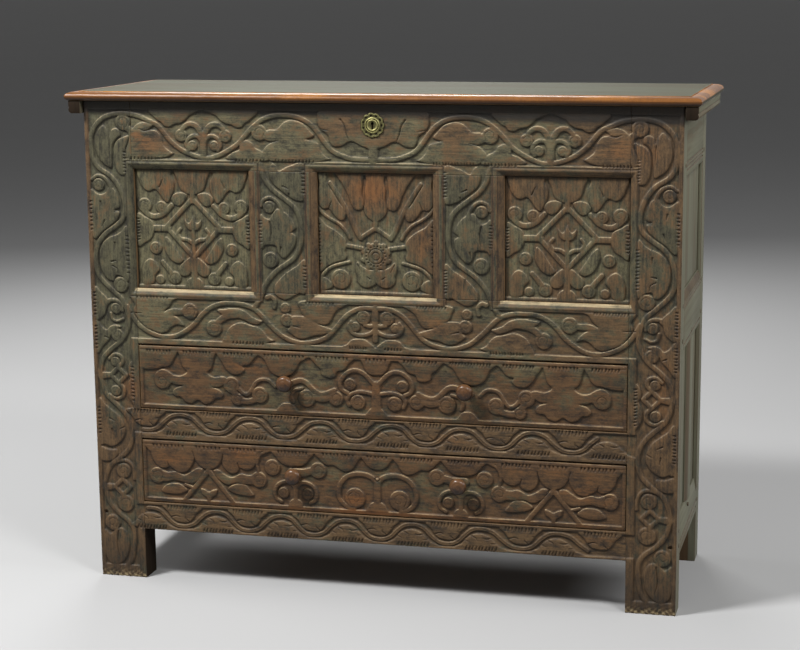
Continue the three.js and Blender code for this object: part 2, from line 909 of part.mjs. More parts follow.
function lidBoard() {
  const half = halfLength + lidEndOverhang;
  const back = caseDepth + lidBackOverhang;
  const lengthwise = [
    ...thumbnail(-lidFrontOverhang, 1),
    [back, lidUnderside + lidThickness],
    [back, lidUnderside],
  ];
  const endwise = [...thumbnail(-half, 1), ...thumbnail(half, -1).reverse()];
  const board = alongX(lengthwise, -half, half)
    .intersect(alongY(endwise, -lidFrontOverhang, back));
  const notchHalf = leafWidth / 2 + notchMargin;
  const notchFront = hingeAxisDepth - knuckleRadius - hingeClearance;
  const cutters = [-1, 1].flatMap((side) => {
    const centre = side * hingeCentre;
    const leafHalf = leafWidth / 2 + fitGap;
    return [
      span(centre - notchHalf, centre + notchHalf, notchFront, back + overrun, 0, caseHeight * 2),
      span(
        centre - leafHalf,
        centre + leafHalf,
        hingeAxisDepth - leafLength - fitGap,
        notchFront + overrun,
        lidUnderside - overrun,
        lidUnderside + leafThickness + fitGap,
      ),
    ];
  });
  cutters.push(span(
    -staplePlateLength / 2 - fitGap,
    staplePlateLength / 2 + fitGap,
    staplePlace - staplePlateWidth / 2 - fitGap,
    staplePlace + staplePlateWidth / 2 + fitGap,
    lidUnderside - overrun,
    lidUnderside + staplePlateThickness + fitGap,
  ));
  return cutAll(board, cutters);
}

// Cleats: battens nailed under the lid ends, moulded along the lower outer edge

function cleat(side) {
  const inner = halfLength + cleatClearance;
  const outer = inner + cleatThickness;
  const top = lidUnderside - fitGap;
  const bottom = top - cleatHeight;
  const outline = [
    [inner, bottom],
    [outer - cleatBeadDepth, bottom],
    [outer - cleatBeadDepth / 4, bottom + cleatBeadWidth / 4],
    [outer, bottom + cleatBeadWidth * 0.6],
    [outer, bottom + cleatBeadWidth],
    [outer - scratchDepth / 2, bottom + cleatBeadWidth + scratchWidth / 4],
    [outer - scratchDepth / 2, bottom + cleatBeadWidth + scratchWidth / 2],
    [outer, bottom + cleatBeadWidth + scratchWidth],
    [outer, top],
    [inner, top],
  ].map(([x, z]) => [side * x, z]);
  return alongY(outline, -lidFrontOverhang + cleatEndInset, caseDepth + lidBackOverhang - cleatEndInset);
}

// Hinges: a leaf nailed down the back with a pin riveted in its knuckles, and a leaf let into the lid

function onHingeAxis(radius, sides, x0, x1) {
  return rodAlongX(radius, sides, x0, x1, hingeAxisDepth, hingeAxisHeight);
}

function caseLeaf(centre) {
  const half = leafWidth / 2;
  const inner = middleKnuckleLength / 2 + knuckleGap;
  const plate = span(
    centre - half,
    centre + half,
    caseDepth + fitGap,
    caseDepth + fitGap + leafThickness,
    hingeAxisHeight - leafLength,
    hingeAxisHeight,
  );
  const relief = span(
    centre - inner,
    centre + inner,
    caseDepth - overrun,
    hingeAxisDepth + knuckleRadius + overrun,
    hingeAxisHeight - knuckleRadius - knuckleGap,
    hingeAxisHeight + knuckleRadius + overrun,
  );
  const barrel = onHingeAxis(knuckleRadius, knuckleSides, centre - half, centre + half);
  const head = half + hingePinHeadLength;
  const pin = onHingeAxis(hingePinRadius, boreSides, centre - head, centre + head);
  const heads = [[-head, -half], [half, head]]
    .map(([x0, x1]) => onHingeAxis(hingePinHeadRadius, boreSides, centre + x0, centre + x1));
  return joined([plate.add(barrel).subtract(relief), pin, ...heads]);
}

function lidLeaf(centre) {
  const half = leafWidth / 2;
  const inner = middleKnuckleLength / 2;
  const plate = span(
    centre - half,
    centre + half,
    hingeAxisDepth - leafLength,
    hingeAxisDepth,
    lidUnderside,
    lidUnderside + leafThickness,
  );
  const reliefs = [[-half - overrun, -inner], [inner, half + overrun]].map(([x0, x1]) => span(
    centre + x0,
    centre + x1,
    hingeAxisDepth - knuckleRadius - hingeClearance,
    hingeAxisDepth + knuckleRadius + overrun,
    lidUnderside - overrun,
    lidUnderside + leafThickness + overrun,
  ));
  const barrel = onHingeAxis(knuckleRadius, knuckleSides, centre - inner, centre + inner);
  const bore = onHingeAxis(knuckleBore, boreSides, centre - half, centre + half);
  return cutAll(plate.add(barrel), [...reliefs, bore]);
}

// Lock: an open-fronted iron box let into the back of the top rail, with two guides for its bolt

const eyeTop = lidUnderside - stapleNeck;
const eyeBottom = eyeTop - stapleEyeHeight;
const boltMiddle = (eyeTop + eyeBottom) / 2;
const boltBottom = boltMiddle - boltHeight / 2;
const boltFront = staplePlace - boltThickness / 2;
const stapleHalf = stapleEyeWidth / 2 + stapleBarThickness;

function lockCase() {
  const half = lockWidth / 2;
  const front = lockFront + fitGap;
  const shell = span(-half, half, front, lockBack, lockBottom, lockTop);
  const hollow = span(
    -half + lockWall,
    half - lockWall,
    front - overrun,
    lockBack - lockWall,
    lockBottom + lockWall,
    lockTop - lockWall,
  );
  const slot = span(
    -stapleBarWidth / 2 - slotClearance,
    stapleBarWidth / 2 + slotClearance,
    staplePlace - stapleHalf - slotClearance,
    staplePlace + stapleHalf + fitGap,
    lockTop - lockWall - overrun,
    lockTop + overrun,
  );
  const guides = [guideOuterPlace, guideInnerPlace].map((place) => span(
    -place - guideThickness / 2,
    -place + guideThickness / 2,
    front + lockWall,
    lockBack - lockWall / 2,
    boltBottom - guideMargin,
    boltBottom + boltHeight + guideMargin,
  ));
  const window = span(
    -half + lockWall + fitGap,
    0,
    boltFront - fitGap,
    boltFront + boltThickness + fitGap,
    boltBottom - fitGap,
    boltBottom + boltHeight + fitGap,
  );
  return cutAll(cutAll(shell, [hollow]).add(joined(guides)), [slot, window]);
}

function lockBolt() {
  const footTop = eyeBottom - stapleBarThickness - boltFootClearance;
  const blocks = [
    [boltTipPlace, boltTipPlace + boltLength, boltBottom, boltBottom + boltHeight],
    [boltLegPlace, boltLegPlace + boltLegWidth, footTop - boltFootHeight, boltBottom + boltHeight],
    [boltTipPlace, boltLegPlace + boltLegWidth, footTop - boltFootHeight, footTop],
  ].map(([right, left, low, high]) => span(-left, -right, boltFront, boltFront + boltThickness, low, high));
  const notch = span(
    -boltNotchPlace - boltNotchWidth / 2,
    -boltNotchPlace + boltNotchWidth / 2,
    boltFront - overrun,
    boltFront + boltThickness + overrun,
    footTop - boltFootHeight - overrun,
    footTop - boltFootHeight + boltNotchDepth,
  );
  return joined(blocks).subtract(notch);
}

function lidStaple() {
  const plate = span(
    -staplePlateLength / 2,
    staplePlateLength / 2,
    staplePlace - staplePlateWidth / 2,
    staplePlace + staplePlateWidth / 2,
    lidUnderside,
    lidUnderside + staplePlateThickness,
  );
  const loop = span(
    -stapleBarWidth / 2,
    stapleBarWidth / 2,
    staplePlace - stapleHalf,
    staplePlace + stapleHalf,
    eyeBottom - stapleBarThickness,
    lidUnderside + staplePlateThickness,
  );
  const eye = span(
    -stapleBarWidth,
    stapleBarWidth,
    staplePlace - stapleEyeWidth / 2,
    staplePlace + stapleEyeWidth / 2,
    eyeBottom,
    eyeTop,
  );
  return plate.add(loop).subtract(eye);
}

// Keyhole plate: a cast rosette with a lobed and pierced rim and two raised rings

function rosette() {
  const outline = [];
  for (let lobe = 0; lobe < rosetteLobes; lobe += 1) {
    const middle = (lobe / rosetteLobes) * Math.PI * 2;
    for (let step = 0; step < lobeSteps; step += 1) {
      const turn = middle + ((step / lobeSteps - 0.5) * Math.PI * 2) / rosetteLobes;
      const swell = Math.cos((step / lobeSteps - 0.5) * Math.PI);
      const radius = rosetteRadius - lobeRadius / 2 + (lobeRadius / 2) * swell;
      outline.push([radius * Math.cos(turn), keyholeHeight + radius * Math.sin(turn)]);
    }
  }
  const back = -fitGap;
  const face = back - rosetteThickness;
  const plate = alongY(outline, face, back);
  const rings = [outerRingRadius, innerRingRadius].map((radius) => {
    const profile = [
      new THREE.Vector2(radius - ringHalfWidth, 0),
      new THREE.Vector2(radius + ringHalfWidth, 0),
      new THREE.Vector2(radius, rosetteThickness / 2 + ringHeight),
      new THREE.Vector2(radius - ringHalfWidth, 0),
    ];
    const ring = new THREE.LatheGeometry(profile, ringSides);
    ring.rotateX(Math.PI);
    ring.translate(0, face + rosetteThickness / 2, keyholeHeight);
    return solidFrom(ring);
  });
  const piercings = [];
  for (let lobe = 0; lobe < rosetteLobes; lobe += 1) {
    const turn = (lobe / rosetteLobes) * Math.PI * 2;
    piercings.push(rodAlongY(
      piercingRadius,
      piercingSides,
      piercingPlace * Math.cos(turn),
      face - overrun,
      overrun,
      keyholeHeight + piercingPlace * Math.sin(turn),
    ));
  }
  return cutAll(joined([plate, ...rings]), [keyholeCutter(face - overrun, overrun), ...piercings]);
}

// Assembly

const chest = new THREE.Group();
chest.position.y = -(rearReach - knobReach) / 2;

for (const [side, hand] of [[-1, 'left'], [1, 'right']]) {
  chest.add(
    piece(`post_front_${hand}`, frontPost(side), frontPaint),
    piece(`post_rear_${hand}`, rearPost(side), sidePaint),
    piece(`front_muntin_${hand}`, frontMuntin(side), frontPaint),
    piece(`side_muntin_${hand}`, sideMuntin(side), sidePaint),
    piece(`lid_cleat_${hand}`, cleat(side), sidePaint),
  );
  sideRails.forEach((rail) => {
    chest.add(piece(`side_${rail.name}_${hand}`, sideRail(rail, side), sidePaint));
  });

  const panelX = side * sideFace;
  const lowerHeight = sideMiddleRailBottom - sideBottomRailTop;
  const lowerWidth = (sideBack - sideFront - sideMuntinWidth) / 2;
  const sidePanels = [
    ['upper', sideBack - sideFront, sideTopRailBottom - sideMiddleRailTop, caseDepth / 2, sideMiddleRailTop],
    ['lower_front', lowerWidth, lowerHeight, sideFront + lowerWidth / 2, sideBottomRailTop],
    ['lower_rear', lowerWidth, lowerHeight, sideBack - lowerWidth / 2, sideBottomRailTop],
  ];
  sidePanels.forEach(([place, width, height, depth, bottom]) => {
    const panel = piece(
      `side_panel_${place}_${hand}`,
      panelSolid(width, height, sidePanelThickness),
      sidePaint,
    );
    panel.rotation.z = side * (Math.PI / 2);
    panel.position.set(panelX, depth, bottom);
    chest.add(panel);
  });
}

frontRails.forEach((rail) => chest.add(piece(rail.name, frontRail(rail), frontPaint)));
backRails.forEach((rail) => chest.add(piece(rail.name, backRail(rail), bareOak)));

frontOpenings.forEach(({ name, left, right }) => {
  const panel = piece(
    `front_panel_${name}`,
    panelSolid(right - left, panelOpeningHeight, frontPanelThickness),
    frontPaint,
  );
  panel.position.set((left + right) / 2, panelSetback, panelBottom);
  chest.add(panel);
});

[['upper', backMiddleRailTop, backTopRailBottom], ['lower', backBottomRailTop, middleRailBottom]]
  .forEach(([place, low, high]) => {
    const panel = piece(
      `back_panel_${place}`,
      panelSolid(innerHalf * 2, high - low, sidePanelThickness),
      bareOak,
    );
    panel.rotation.z = Math.PI;
    panel.position.set(0, backFace, low);
    chest.add(panel);
  });

chest.add(piece('chest_floor', chestFloor(), bareOak));

const drawers = [
  { name: 'upper_drawer', bottom: upperOpeningBottom, spread: upperKnobSpread, share: upperKnobShare },
  { name: 'lower_drawer', bottom: lowerOpeningBottom, spread: lowerKnobSpread, share: lowerKnobShare },
];
drawers.forEach(({ name, bottom, spread, share }) => {
  const height = drawerOpeningHeight * share;
  const drawer = new THREE.Group();
  drawer.position.z = bottom;
  drawer.add(
    piece(`${name}_front`, drawerFront(spread, height), frontPaint),
    piece(`${name}_back`, drawerBack(), bareOak),
    piece(`${name}_bottom`, drawerBottom(), bareOak),
  );
  for (const [side, hand] of [[-1, 'left'], [1, 'right']]) {
    const knob = piece(`${name}_knob_${hand}`, solidFrom(knobGeometry()), turnedOak);
    knob.position.set(side * spread, 0, height);
    drawer.add(knob, piece(`${name}_side_${hand}`, drawerSide(side), bareOak));
  }
  chest.add(drawer, piece(`${name}_runner_frame`, runnerFrame(bottom), bareOak));
});

chest.add(piece('lid_board', lidBoard(), lidPaint));
for (const [side, hand] of [[-1, 'left'], [1, 'right']]) {
  chest.add(
    piece(`hinge_case_leaf_${hand}`, caseLeaf(side * hingeCentre), forgedIron),
    piece(`hinge_lid_leaf_${hand}`, lidLeaf(side * hingeCentre), forgedIron),
  );
}
chest.add(piece('lock_case', lockCase(), forgedIron));
chest.add(piece('lock_bolt', lockBolt(), forgedIron));
chest.add(piece('lid_staple', lidStaple(), forgedIron));
chest.add(piece('escutcheon', rosette(), castBrass));

export default chest;
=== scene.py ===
import json
import math

import bmesh
import bpy
import numpy as np
from mathutils import Matrix, Vector

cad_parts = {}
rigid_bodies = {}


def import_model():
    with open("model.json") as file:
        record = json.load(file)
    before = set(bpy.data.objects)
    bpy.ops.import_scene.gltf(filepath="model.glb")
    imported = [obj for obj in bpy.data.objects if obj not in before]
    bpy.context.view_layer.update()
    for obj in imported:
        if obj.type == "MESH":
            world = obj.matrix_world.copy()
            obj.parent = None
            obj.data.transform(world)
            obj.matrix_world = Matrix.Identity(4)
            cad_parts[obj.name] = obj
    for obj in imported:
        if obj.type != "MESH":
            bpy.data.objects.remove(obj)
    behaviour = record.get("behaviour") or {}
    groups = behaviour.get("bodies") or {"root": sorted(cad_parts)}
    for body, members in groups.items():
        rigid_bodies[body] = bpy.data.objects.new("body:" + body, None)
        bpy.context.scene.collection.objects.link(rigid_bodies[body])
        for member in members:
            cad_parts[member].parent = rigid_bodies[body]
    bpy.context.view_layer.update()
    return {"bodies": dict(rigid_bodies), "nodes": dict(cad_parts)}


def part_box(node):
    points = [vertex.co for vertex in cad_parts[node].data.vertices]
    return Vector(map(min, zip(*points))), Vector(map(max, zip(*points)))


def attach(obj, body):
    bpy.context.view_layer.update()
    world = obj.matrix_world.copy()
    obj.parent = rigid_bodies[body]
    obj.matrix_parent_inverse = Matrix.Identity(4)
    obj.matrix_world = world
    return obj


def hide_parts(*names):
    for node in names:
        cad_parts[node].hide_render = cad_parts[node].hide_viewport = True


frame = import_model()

# The camera stands where the photograph was taken: right of the middle, a little above the lid.
# Its numbers come from a fit to the corners of the front, the lid and the drawers.
CAMERA_PLACE = Vector((0.9285, -3.5106, 1.1701))
TURN_LEFT = 0.2416
TILT_UP = -0.1905
ROLL = -0.0066
LENS_MM = 84.42
SHIFT_SIDEWAYS = -0.040
SHIFT_UP = 0.0143

ahead = Vector((
    -math.sin(TURN_LEFT) * math.cos(TILT_UP),
    math.cos(TURN_LEFT) * math.cos(TILT_UP),
    math.sin(TILT_UP),
))
level = Vector((math.cos(TURN_LEFT), math.sin(TURN_LEFT), 0.0))
upward = level.cross(ahead)
across = level * math.cos(ROLL) + upward * math.sin(ROLL)
upward = upward * math.cos(ROLL) - level * math.sin(ROLL)
camera_data = bpy.data.cameras.new("camera")
camera_data.lens = LENS_MM
camera_data.sensor_width = 36.0
camera_data.shift_x = SHIFT_SIDEWAYS
camera_data.shift_y = SHIFT_UP
camera_data.clip_end = 500.0
camera = bpy.data.objects.new("camera", camera_data)
bpy.context.scene.collection.objects.link(camera)
facing = Matrix((across, upward, -ahead)).transposed().to_4x4()
camera.matrix_world = Matrix.Translation(CAMERA_PLACE) @ facing
bpy.context.scene.camera = camera
bpy.context.scene.view_settings.view_transform = "Standard"


# The studio: a pale floor that runs to the horizon, a pale surround, and five soft lamps.
# The high lamps rake down the carving, as the light in the photograph does.
FLOOR_REACH = 150.0
FLOOR_GREY = 0.46
FLOOR_GREY_TO_LIGHT = 0.15
SURROUND_GREY = 0.5
SURROUND_LIGHT = 0.06


def srgb(red, green, blue):
    """A colour as it looks, from 0 to 255, turned into light."""
    light = []
    for part in (red, green, blue):
        share = part / 255.0
        light.append(share / 12.92 if share <= 0.04045 else ((share + 0.055) / 1.055) ** 2.4)
    return (*light, 1.0)


class Tone:
    """A value of a finish. Sums and products of tones add the nodes that work them out."""

    def __init__(self, finish, socket):
        self.finish = finish
        self.socket = socket

    def worked(self, operation, first, second=None, clamp=False):
        values = {0: first} if second is None else {0: first, 1: second}
        return self.finish.node("Math", {"operation": operation, "use_clamp": clamp}, values)

    def __add__(self, other):
        return self.worked("ADD", self, other)

    __radd__ = __add__

    def __sub__(self, other):
        return self.worked("SUBTRACT", self, other)

    def __rsub__(self, other):
        return self.worked("SUBTRACT", other, self)

    def __mul__(self, other):
        return self.worked("MULTIPLY", self, other)

    __rmul__ = __mul__

    def held(self):
        """The same value kept between 0 and 1."""
        return self.worked("ADD", self, 0.0, clamp=True)

    def between(self, low, high):
        """0 below low, 1 above high, and a soft step between."""
        settings = {"interpolation_type": "SMOOTHSTEP"}
        return self.finish.node("MapRange", settings, {"Value": self, "From Min": low, "From Max": high})


class Finish:
    """A material being mixed, with the place on the piece as its ground."""

    def __init__(self, name):
        self.material = bpy.data.materials.new(name)
        self.material.use_nodes = True
        self.tree = self.material.node_tree
        self.tree.nodes.clear()
        self.place = self.node("TexCoord", {}, {}, "Object")

    def node(self, kind, settings, values, out=0):
        """Any shader node: its settings first, then what its sockets hold or are linked to."""
        made = self.tree.nodes.new("ShaderNode" + kind)
        for name, setting in settings.items():
            setattr(made, name, setting)
        known = {socket.identifier: socket for socket in made.inputs}
        for name, value in values.items():
            socket = made.inputs[name] if isinstance(name, int) else known.get(name, made.inputs.get(name))
            if isinstance(value, Tone):
                self.tree.links.new(value.socket, socket)
            else:
                socket.default_value = value
        given = {socket.identifier: socket for socket in made.outputs}
        if not given:
            return None
        return Tone(self, made.outputs[out] if isinstance(out, int) else given[out])

    def stretched(self, along, wide, high):
        """The place on the piece, stretched so that a pattern runs with the grain."""
        return self.node("VectorMath", {"operation": "MULTIPLY"}, {0: self.place, 1: (along, wide, high)})

    def noise(self, place, scale, detail=3.0, roughness=0.55):
        values = {"Vector": place, "Scale": scale, "Detail": detail, "Roughness": roughness}
        return self.node("TexNoise", {}, values)

    def mixed(self, share, first, second):
        values = {"Factor_Float": share, "A_Color": first, "B_Color": second}
        return self.node("Mix", {"data_type": "RGBA"}, values, "Result_Color")

    def own(self, attribute):
        """A value that the piece carries at its own points."""
        return self.node("Attribute", {"attribute_name": attribute}, {}, "Fac")

    def bump(self, height, strength, distance):
        values = {"Height": height, "Strength": strength, "Distance": distance}
        return self.node("Bump", {}, values)

    def done(self, colour, roughness, normal=None, **constant):
        values = {"Base Color": colour, "Roughness": roughness}
        values.update({name.replace("_", " "): value for name, value in constant.items()})
        if normal is not None:
            values["Normal"] = normal
        shader = self.node("BsdfPrincipled", {}, values)
        self.node("OutputMaterial", {}, {"Surface": shader})
        return self.material


def new_piece(name, points, faces, materials=()):
    """A mesh object at the origin, its place in its points."""
    mesh = bpy.data.meshes.new(name)
    mesh.from_pydata(points, [], faces)
    mesh.update()
    for material in materials:
        mesh.materials.append(material)
    made = bpy.data.objects.new(name, mesh)
    bpy.context.scene.collection.objects.link(made)
    return made


def face_out(made):
    """Turns every face of a closed piece outward."""
    shape = bmesh.new()
    shape.from_mesh(made.data)
    bmesh.ops.recalc_face_normals(shape, faces=shape.faces)
    shape.to_mesh(made.data)
    shape.free()


floor_finish = Finish("pale_floor")
to_camera = floor_finish.node("LightPath", {}, {}, "Is Camera Ray")
seen = to_camera + floor_finish.node("LightPath", {}, {}, "Is Glossy Ray")
floor_tint = floor_finish.noise(floor_finish.place, 0.6, 2.0) * 0.02 + FLOOR_GREY_TO_LIGHT
floor_tint = floor_tint + seen.held() * (FLOOR_GREY - FLOOR_GREY_TO_LIGHT)
floor_parts = {"Red": floor_tint, "Green": floor_tint, "Blue": floor_tint}
floor_colour = floor_finish.node("CombineColor", {}, floor_parts)
floor_material = floor_finish.done(floor_colour, 0.8, Specular_IOR_Level=0.2)
floor = new_piece(
    "floor",
    [(x * FLOOR_REACH, y * FLOOR_REACH, 0.0) for x, y in ((-1, -1), (1, -1), (1, 1), (-1, 1))],
    [(0, 1, 2, 3)],
    [floor_material],
)

surround = bpy.data.worlds.new("surround")
surround.use_nodes = True
bpy.context.scene.world = surround
world = surround.node_tree
world.nodes.clear()
backgrounds = []
for grey, strength in ((1.0, SURROUND_LIGHT), (SURROUND_GREY, 1.0)):
    background = world.nodes.new("ShaderNodeBackground")
    background.inputs["Color"].default_value = (grey, grey, grey, 1.0)
    background.inputs["Strength"].default_value = strength
    backgrounds.append(background)
ray = world.nodes.new("ShaderNodeLightPath")
either = world.nodes.new("ShaderNodeMath")
either.operation = "MAXIMUM"
world_mix = world.nodes.new("ShaderNodeMixShader")
world_out = world.nodes.new("ShaderNodeOutputWorld")
for given, taken in (
    (ray.outputs["Is Camera Ray"], either.inputs[0]),
    (ray.outputs["Is Glossy Ray"], either.inputs[1]),
    (either.outputs[0], world_mix.inputs[0]),
    (backgrounds[0].outputs[0], world_mix.inputs[1]),
    (backgrounds[1].outputs[0], world_mix.inputs[2]),
    (world_mix.outputs[0], world_out.inputs[0]),
):
    world.links.new(given, taken)


def lamp(name, place, aim, size, power):
    data = bpy.data.lights.new(name, "AREA")
    data.shape = "RECTANGLE"
    data.size = size[0]
    data.size_y = size[1]
    data.energy = power
    made = bpy.data.objects.new(name, data)
    bpy.context.scene.collection.objects.link(made)
    made.location = place
    made.rotation_mode = "QUATERNION"
    made.rotation_quaternion = (Vector(aim) - Vector(place)).to_track_quat("-Z", "Y")


lamp("high_left_lamp", (-1.6, -1.7, 3.2), (0.0, -0.2, 0.5), (0.7, 0.5), 142.0)
lamp("high_right_lamp", (1.9, -1.9, 3.1), (0.0, -0.2, 0.5), (0.8, 0.6), 54.0)
lamp("side_lamp", (3.3, -0.3, 2.0), (0.5, 0.0, 0.5), (1.2, 1.2), 44.0)
lamp("left_lamp", (-3.3, 0.4, 1.6), (-0.5, 0.0, 0.5), (1.2, 1.4), 30.0)
lamp("back_lamp", (-1.0, 3.2, 2.4), (0.0, 0.0, 0.5), (1.6, 1.2), 60.0)


# The front of the case: posts, rails and muntins of riven oak, tenoned and pegged, then painted
# grey-green. One vine runs over all of them, left standing where the ground was cut away round it.
FRAME_GRID_MM = 1.25
GROUND_MM = 3.6
WALL_MM = 1.7
SHOULDER_MM = 1.05
SHOULDER_REACH_MM = 3.2
VINE_MM = 9.0
ROUGH_GROUND_MM = 0.35
ROUGH_FACE_MM = 0.12
CUTS_SHORT_OF_GROUND_MM = 0.8
CUT_SLOPE_MM = 1.2
EDGE_REACH_MM = 1.3
CORNER_REACH_MM = 2.3

MM = 0.001
front_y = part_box("front_top_rail")[0].y / MM
post_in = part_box("post_front_right")[0].x / MM
post_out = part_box("post_front_right")[1].x / MM
case_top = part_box("post_front_right")[1].z / MM


STEPS_TO_A_MARK = 5
ENDLESS = 1e9


def smooth_line(marks, closed=False):
    """Points on a smooth line through the marks. A mark given twice stays a sharp tip."""
    marks = np.array(marks, float)
    if closed:
        ring = np.vstack([marks[-1:], marks, marks[:2]])
    else:
        ring = np.vstack([2 * marks[:1] - marks[1:2], marks, 2 * marks[-1:] - marks[-2:-1]])
    t = np.linspace(0.0, 1.0, STEPS_TO_A_MARK, endpoint=False)[:, None]
    line = []
    for a, b, c, d in zip(ring, ring[1:], ring[2:], ring[3:]):
        if np.allclose(b, c):
            continue
        bend = (2 * a - 5 * b + 4 * c - d) * t**2 + (3 * b - a - 3 * c + d) * t**3
        line.append(0.5 * (2 * b + (c - a) * t + bend))
    line.append(marks[:1] if closed else marks[-1:])
    return np.vstack(line)


def from_segment(x, z, a, b):
    """How far each spot is from the line between a and b, and how far along it the nearest point is."""
    run = b - a
    length = max(float(run @ run), 1e-9)
    along = np.clip(((x - a[0]) * run[0] + (z - a[1]) * run[1]) / length, 0.0, 1.0)
    return np.hypot(x - a[0] - along * run[0], z - a[1] - along * run[1]), along


# A shape is carved as drawn and again turned over, or only as drawn.
BOTH = (1, -1)
ONE = (1,)
STRETCH = 5
FARTHEST_MM = 30.0
ROOM_MM = 9.0
SMALLEST_CURLED_MM = 9.0
# The cut that curls into a scroll's end: shares of its radius, each with its turn.
SCROLL_CURL = ((0.74, -0.9), (0.7, 0.2), (0.63, 1.3), (0.55, 2.4), (0.45, 3.5), (0.34, 4.6), (0.2, 5.6))
MORE_NICKS = 1.15


class Carving:
    """What a carver leaves standing and what is cut into it, in mm seen from the front."""

    def __init__(self):
        self.standing = []
        self.cuts = []

    def turned_over(self, marks, about, sides):
        for side in sides:
            yield np.array([(about + side * x, z) for x, z in marks], float), side

    def leaf(self, marks, about=0.0, sides=BOTH):
        """A flat shape inside a smooth outline."""
        for line, _ in self.turned_over(marks, about, sides):
            line = smooth_line(line, closed=True)

            def within(x, z, line=line):
                far = np.full(x.shape, ENDLESS)
                inside = np.zeros(x.shape, bool)
                for a, b in zip(line, line[1:]):
                    far = np.minimum(far, from_segment(x, z, a, b)[0])
                    if a[1] != b[1]:
                        crosses = (a[1] > z) != (b[1] > z)
                        inside ^= crosses & (x < a[0] + (z - a[1]) * (b[0] - a[0]) / (b[1] - a[1]))
                return np.where(inside, -far, far)

            self.standing.append((line.min(0), line.max(0), within))

    def lines(self, kept, marks, wide, end_wide, about, sides):
        """A line through the marks, in short stretches, its width changing evenly along it."""
        for line, _ in self.turned_over(marks, about, sides):
            line = smooth_line(line) if len(line) > 2 else line
            widths = np.linspace(wide, wide if end_wide is None else end_wide, len(line)) / 2
            for start in range(0, len(line) - 1, STRETCH):
                bit = line[start : start + STRETCH + 1]
                half = widths[start : start + STRETCH + 1]

                def near(x, z, bit=bit, half=half):
                    far = np.full(x.shape, ENDLESS)
                    for a, b, p, q in zip(bit, bit[1:], half, half[1:]):
                        gone, along = from_segment(x, z, a, b)
                        far = np.minimum(far, gone - p - (q - p) * along)
                    return far

                room = half.max()
                kept.append((bit.min(0) - room, bit.max(0) + room, near))

    def stem(self, marks, wide=VINE_MM, end_wide=None, about=0.0, sides=BOTH):
        """A vine or strap, rounded over."""
        self.lines(self.standing, marks, wide, end_wide, about, sides)

    def cut(self, marks, wide=2.6, end_wide=1.2, about=0.0, sides=BOTH):
        """A short cut of the gouge or the parting tool."""
        self.lines(self.cuts, marks, wide, end_wide, about, sides)

    def boss(self, x, z, radius, about=0.0, sides=BOTH, eye=True):
        """The round end of a scroll, with the cut that curls into it."""
        for (place,), side in self.turned_over([(x, z)], about, sides):

            def within(px, pz, place=place):
                return np.hypot(px - place[0], pz - place[1]) - radius

            self.standing.append((place - radius, place + radius, within))
            if eye and radius > SMALLEST_CURLED_MM:
                curl = []
                for share, turn in SCROLL_CURL:
                    away = radius * share
                    curl.append((place[0] + side * away * math.cos(turn), place[1] + away * math.sin(turn)))
                self.lines(self.cuts, curl, 1.3, 0.7, 0.0, ONE)

    def comb(self, start, end, nicks, inward, length=5.0, about=0.0, sides=BOTH):
        """A row of nicks along the edge of a leaf. The second side has a few more, as hand work does."""
        for (a, b), side in self.turned_over([start, end], about, sides):
            nicks = round(nicks * MORE_NICKS)
            for k in range(nicks):
                wander = math.sin(2.1 * k + a[0]), math.sin(3.7 * k + a[1])
                mark = a + (b - a) * ((k + 0.5 + 0.08 * wander[0]) / nicks)
                tip = mark + np.array([side * inward[0], inward[1]]) * (0.5 * length + 0.4 * wander[1])
                tip = tip + (b - a) / np.linalg.norm(b - a) * 0.5
                self.lines(self.cuts, [mark - (tip - mark) * 0.7, tip], 4.4 + 0.4 * wander[1], 1.6, 0.0, ONE)

    def measured(self, shapes, xs, zs):
        """The distance from the nearest shape over a grid of spots, less than zero inside."""
        far = np.full((len(zs), len(xs)), FARTHEST_MM)
        for low, high, within in shapes:
            i, j = np.searchsorted(xs, (low[0] - ROOM_MM, high[0] + ROOM_MM))
            k, m = np.searchsorted(zs, (low[1] - ROOM_MM, high[1] + ROOM_MM))
            if i < j and k < m:
                x, z = np.meshgrid(xs[i:j], zs[k:m])
                far[k:m, i:j] = np.minimum(far[k:m, i:j], within(x, z))
        return far


vine = Carving()

# Each post's vine starts at the foot and ends in the middle of the top rail.
vine.stem([
    (-520, 15), (-505, 40), (-500, 70), (-500, 96), (-510, 113), (-528, 127), (-545, 145), (-553, 162),
    (-557, 187), (-552, 210), (-541, 229), (-522, 243), (-504, 262), (-496, 288), (-498, 312), (-509, 332),
    (-525, 348), (-545, 367), (-555, 392), (-557, 418), (-551, 440), (-535, 458), (-512, 477), (-499, 497),
    (-494, 518), (-498, 540), (-508, 560), (-525, 575), (-543, 592), (-553, 605), (-557, 620), (-557, 645),
    (-550, 668), (-535, 686), (-515, 700), (-499, 715), (-494, 735), (-496, 755), (-505, 777), (-521, 797),
    (-543, 811), (-555, 828), (-558, 850), (-558, 870), (-550, 890), (-530, 908), (-500, 916), (-465, 913),
    (-440, 903), (-420, 893), (-400, 869), (-380, 852), (-360, 842), (-340, 836), (-320, 834), (-300, 840),
    (-280, 850), (-262, 862), (-250, 875), (-240, 886), (-228, 897), (-212, 908), (-190, 915), (-165, 916),
    (-140, 911), (-120, 900), (-106, 885), (-93, 867), (-78, 851), (-58, 842), (-38, 837), (0, 836),
])
vine.stem([
    (-497, 545), (-485, 524), (-470, 507), (-450, 495), (-425, 488), (-400, 490), (-380, 500), (-360, 515),
    (-345, 533), (-325, 549), (-303, 557), (-285, 558), (-262, 557), (-240, 550), (-225, 538), (-210, 522),
    (-195, 508), (-180, 497), (-160, 489), (-140, 487), (-115, 491), (-95, 500), (-80, 515), (-65, 533),
    (-50, 547), (-28, 557), (0, 558),
])
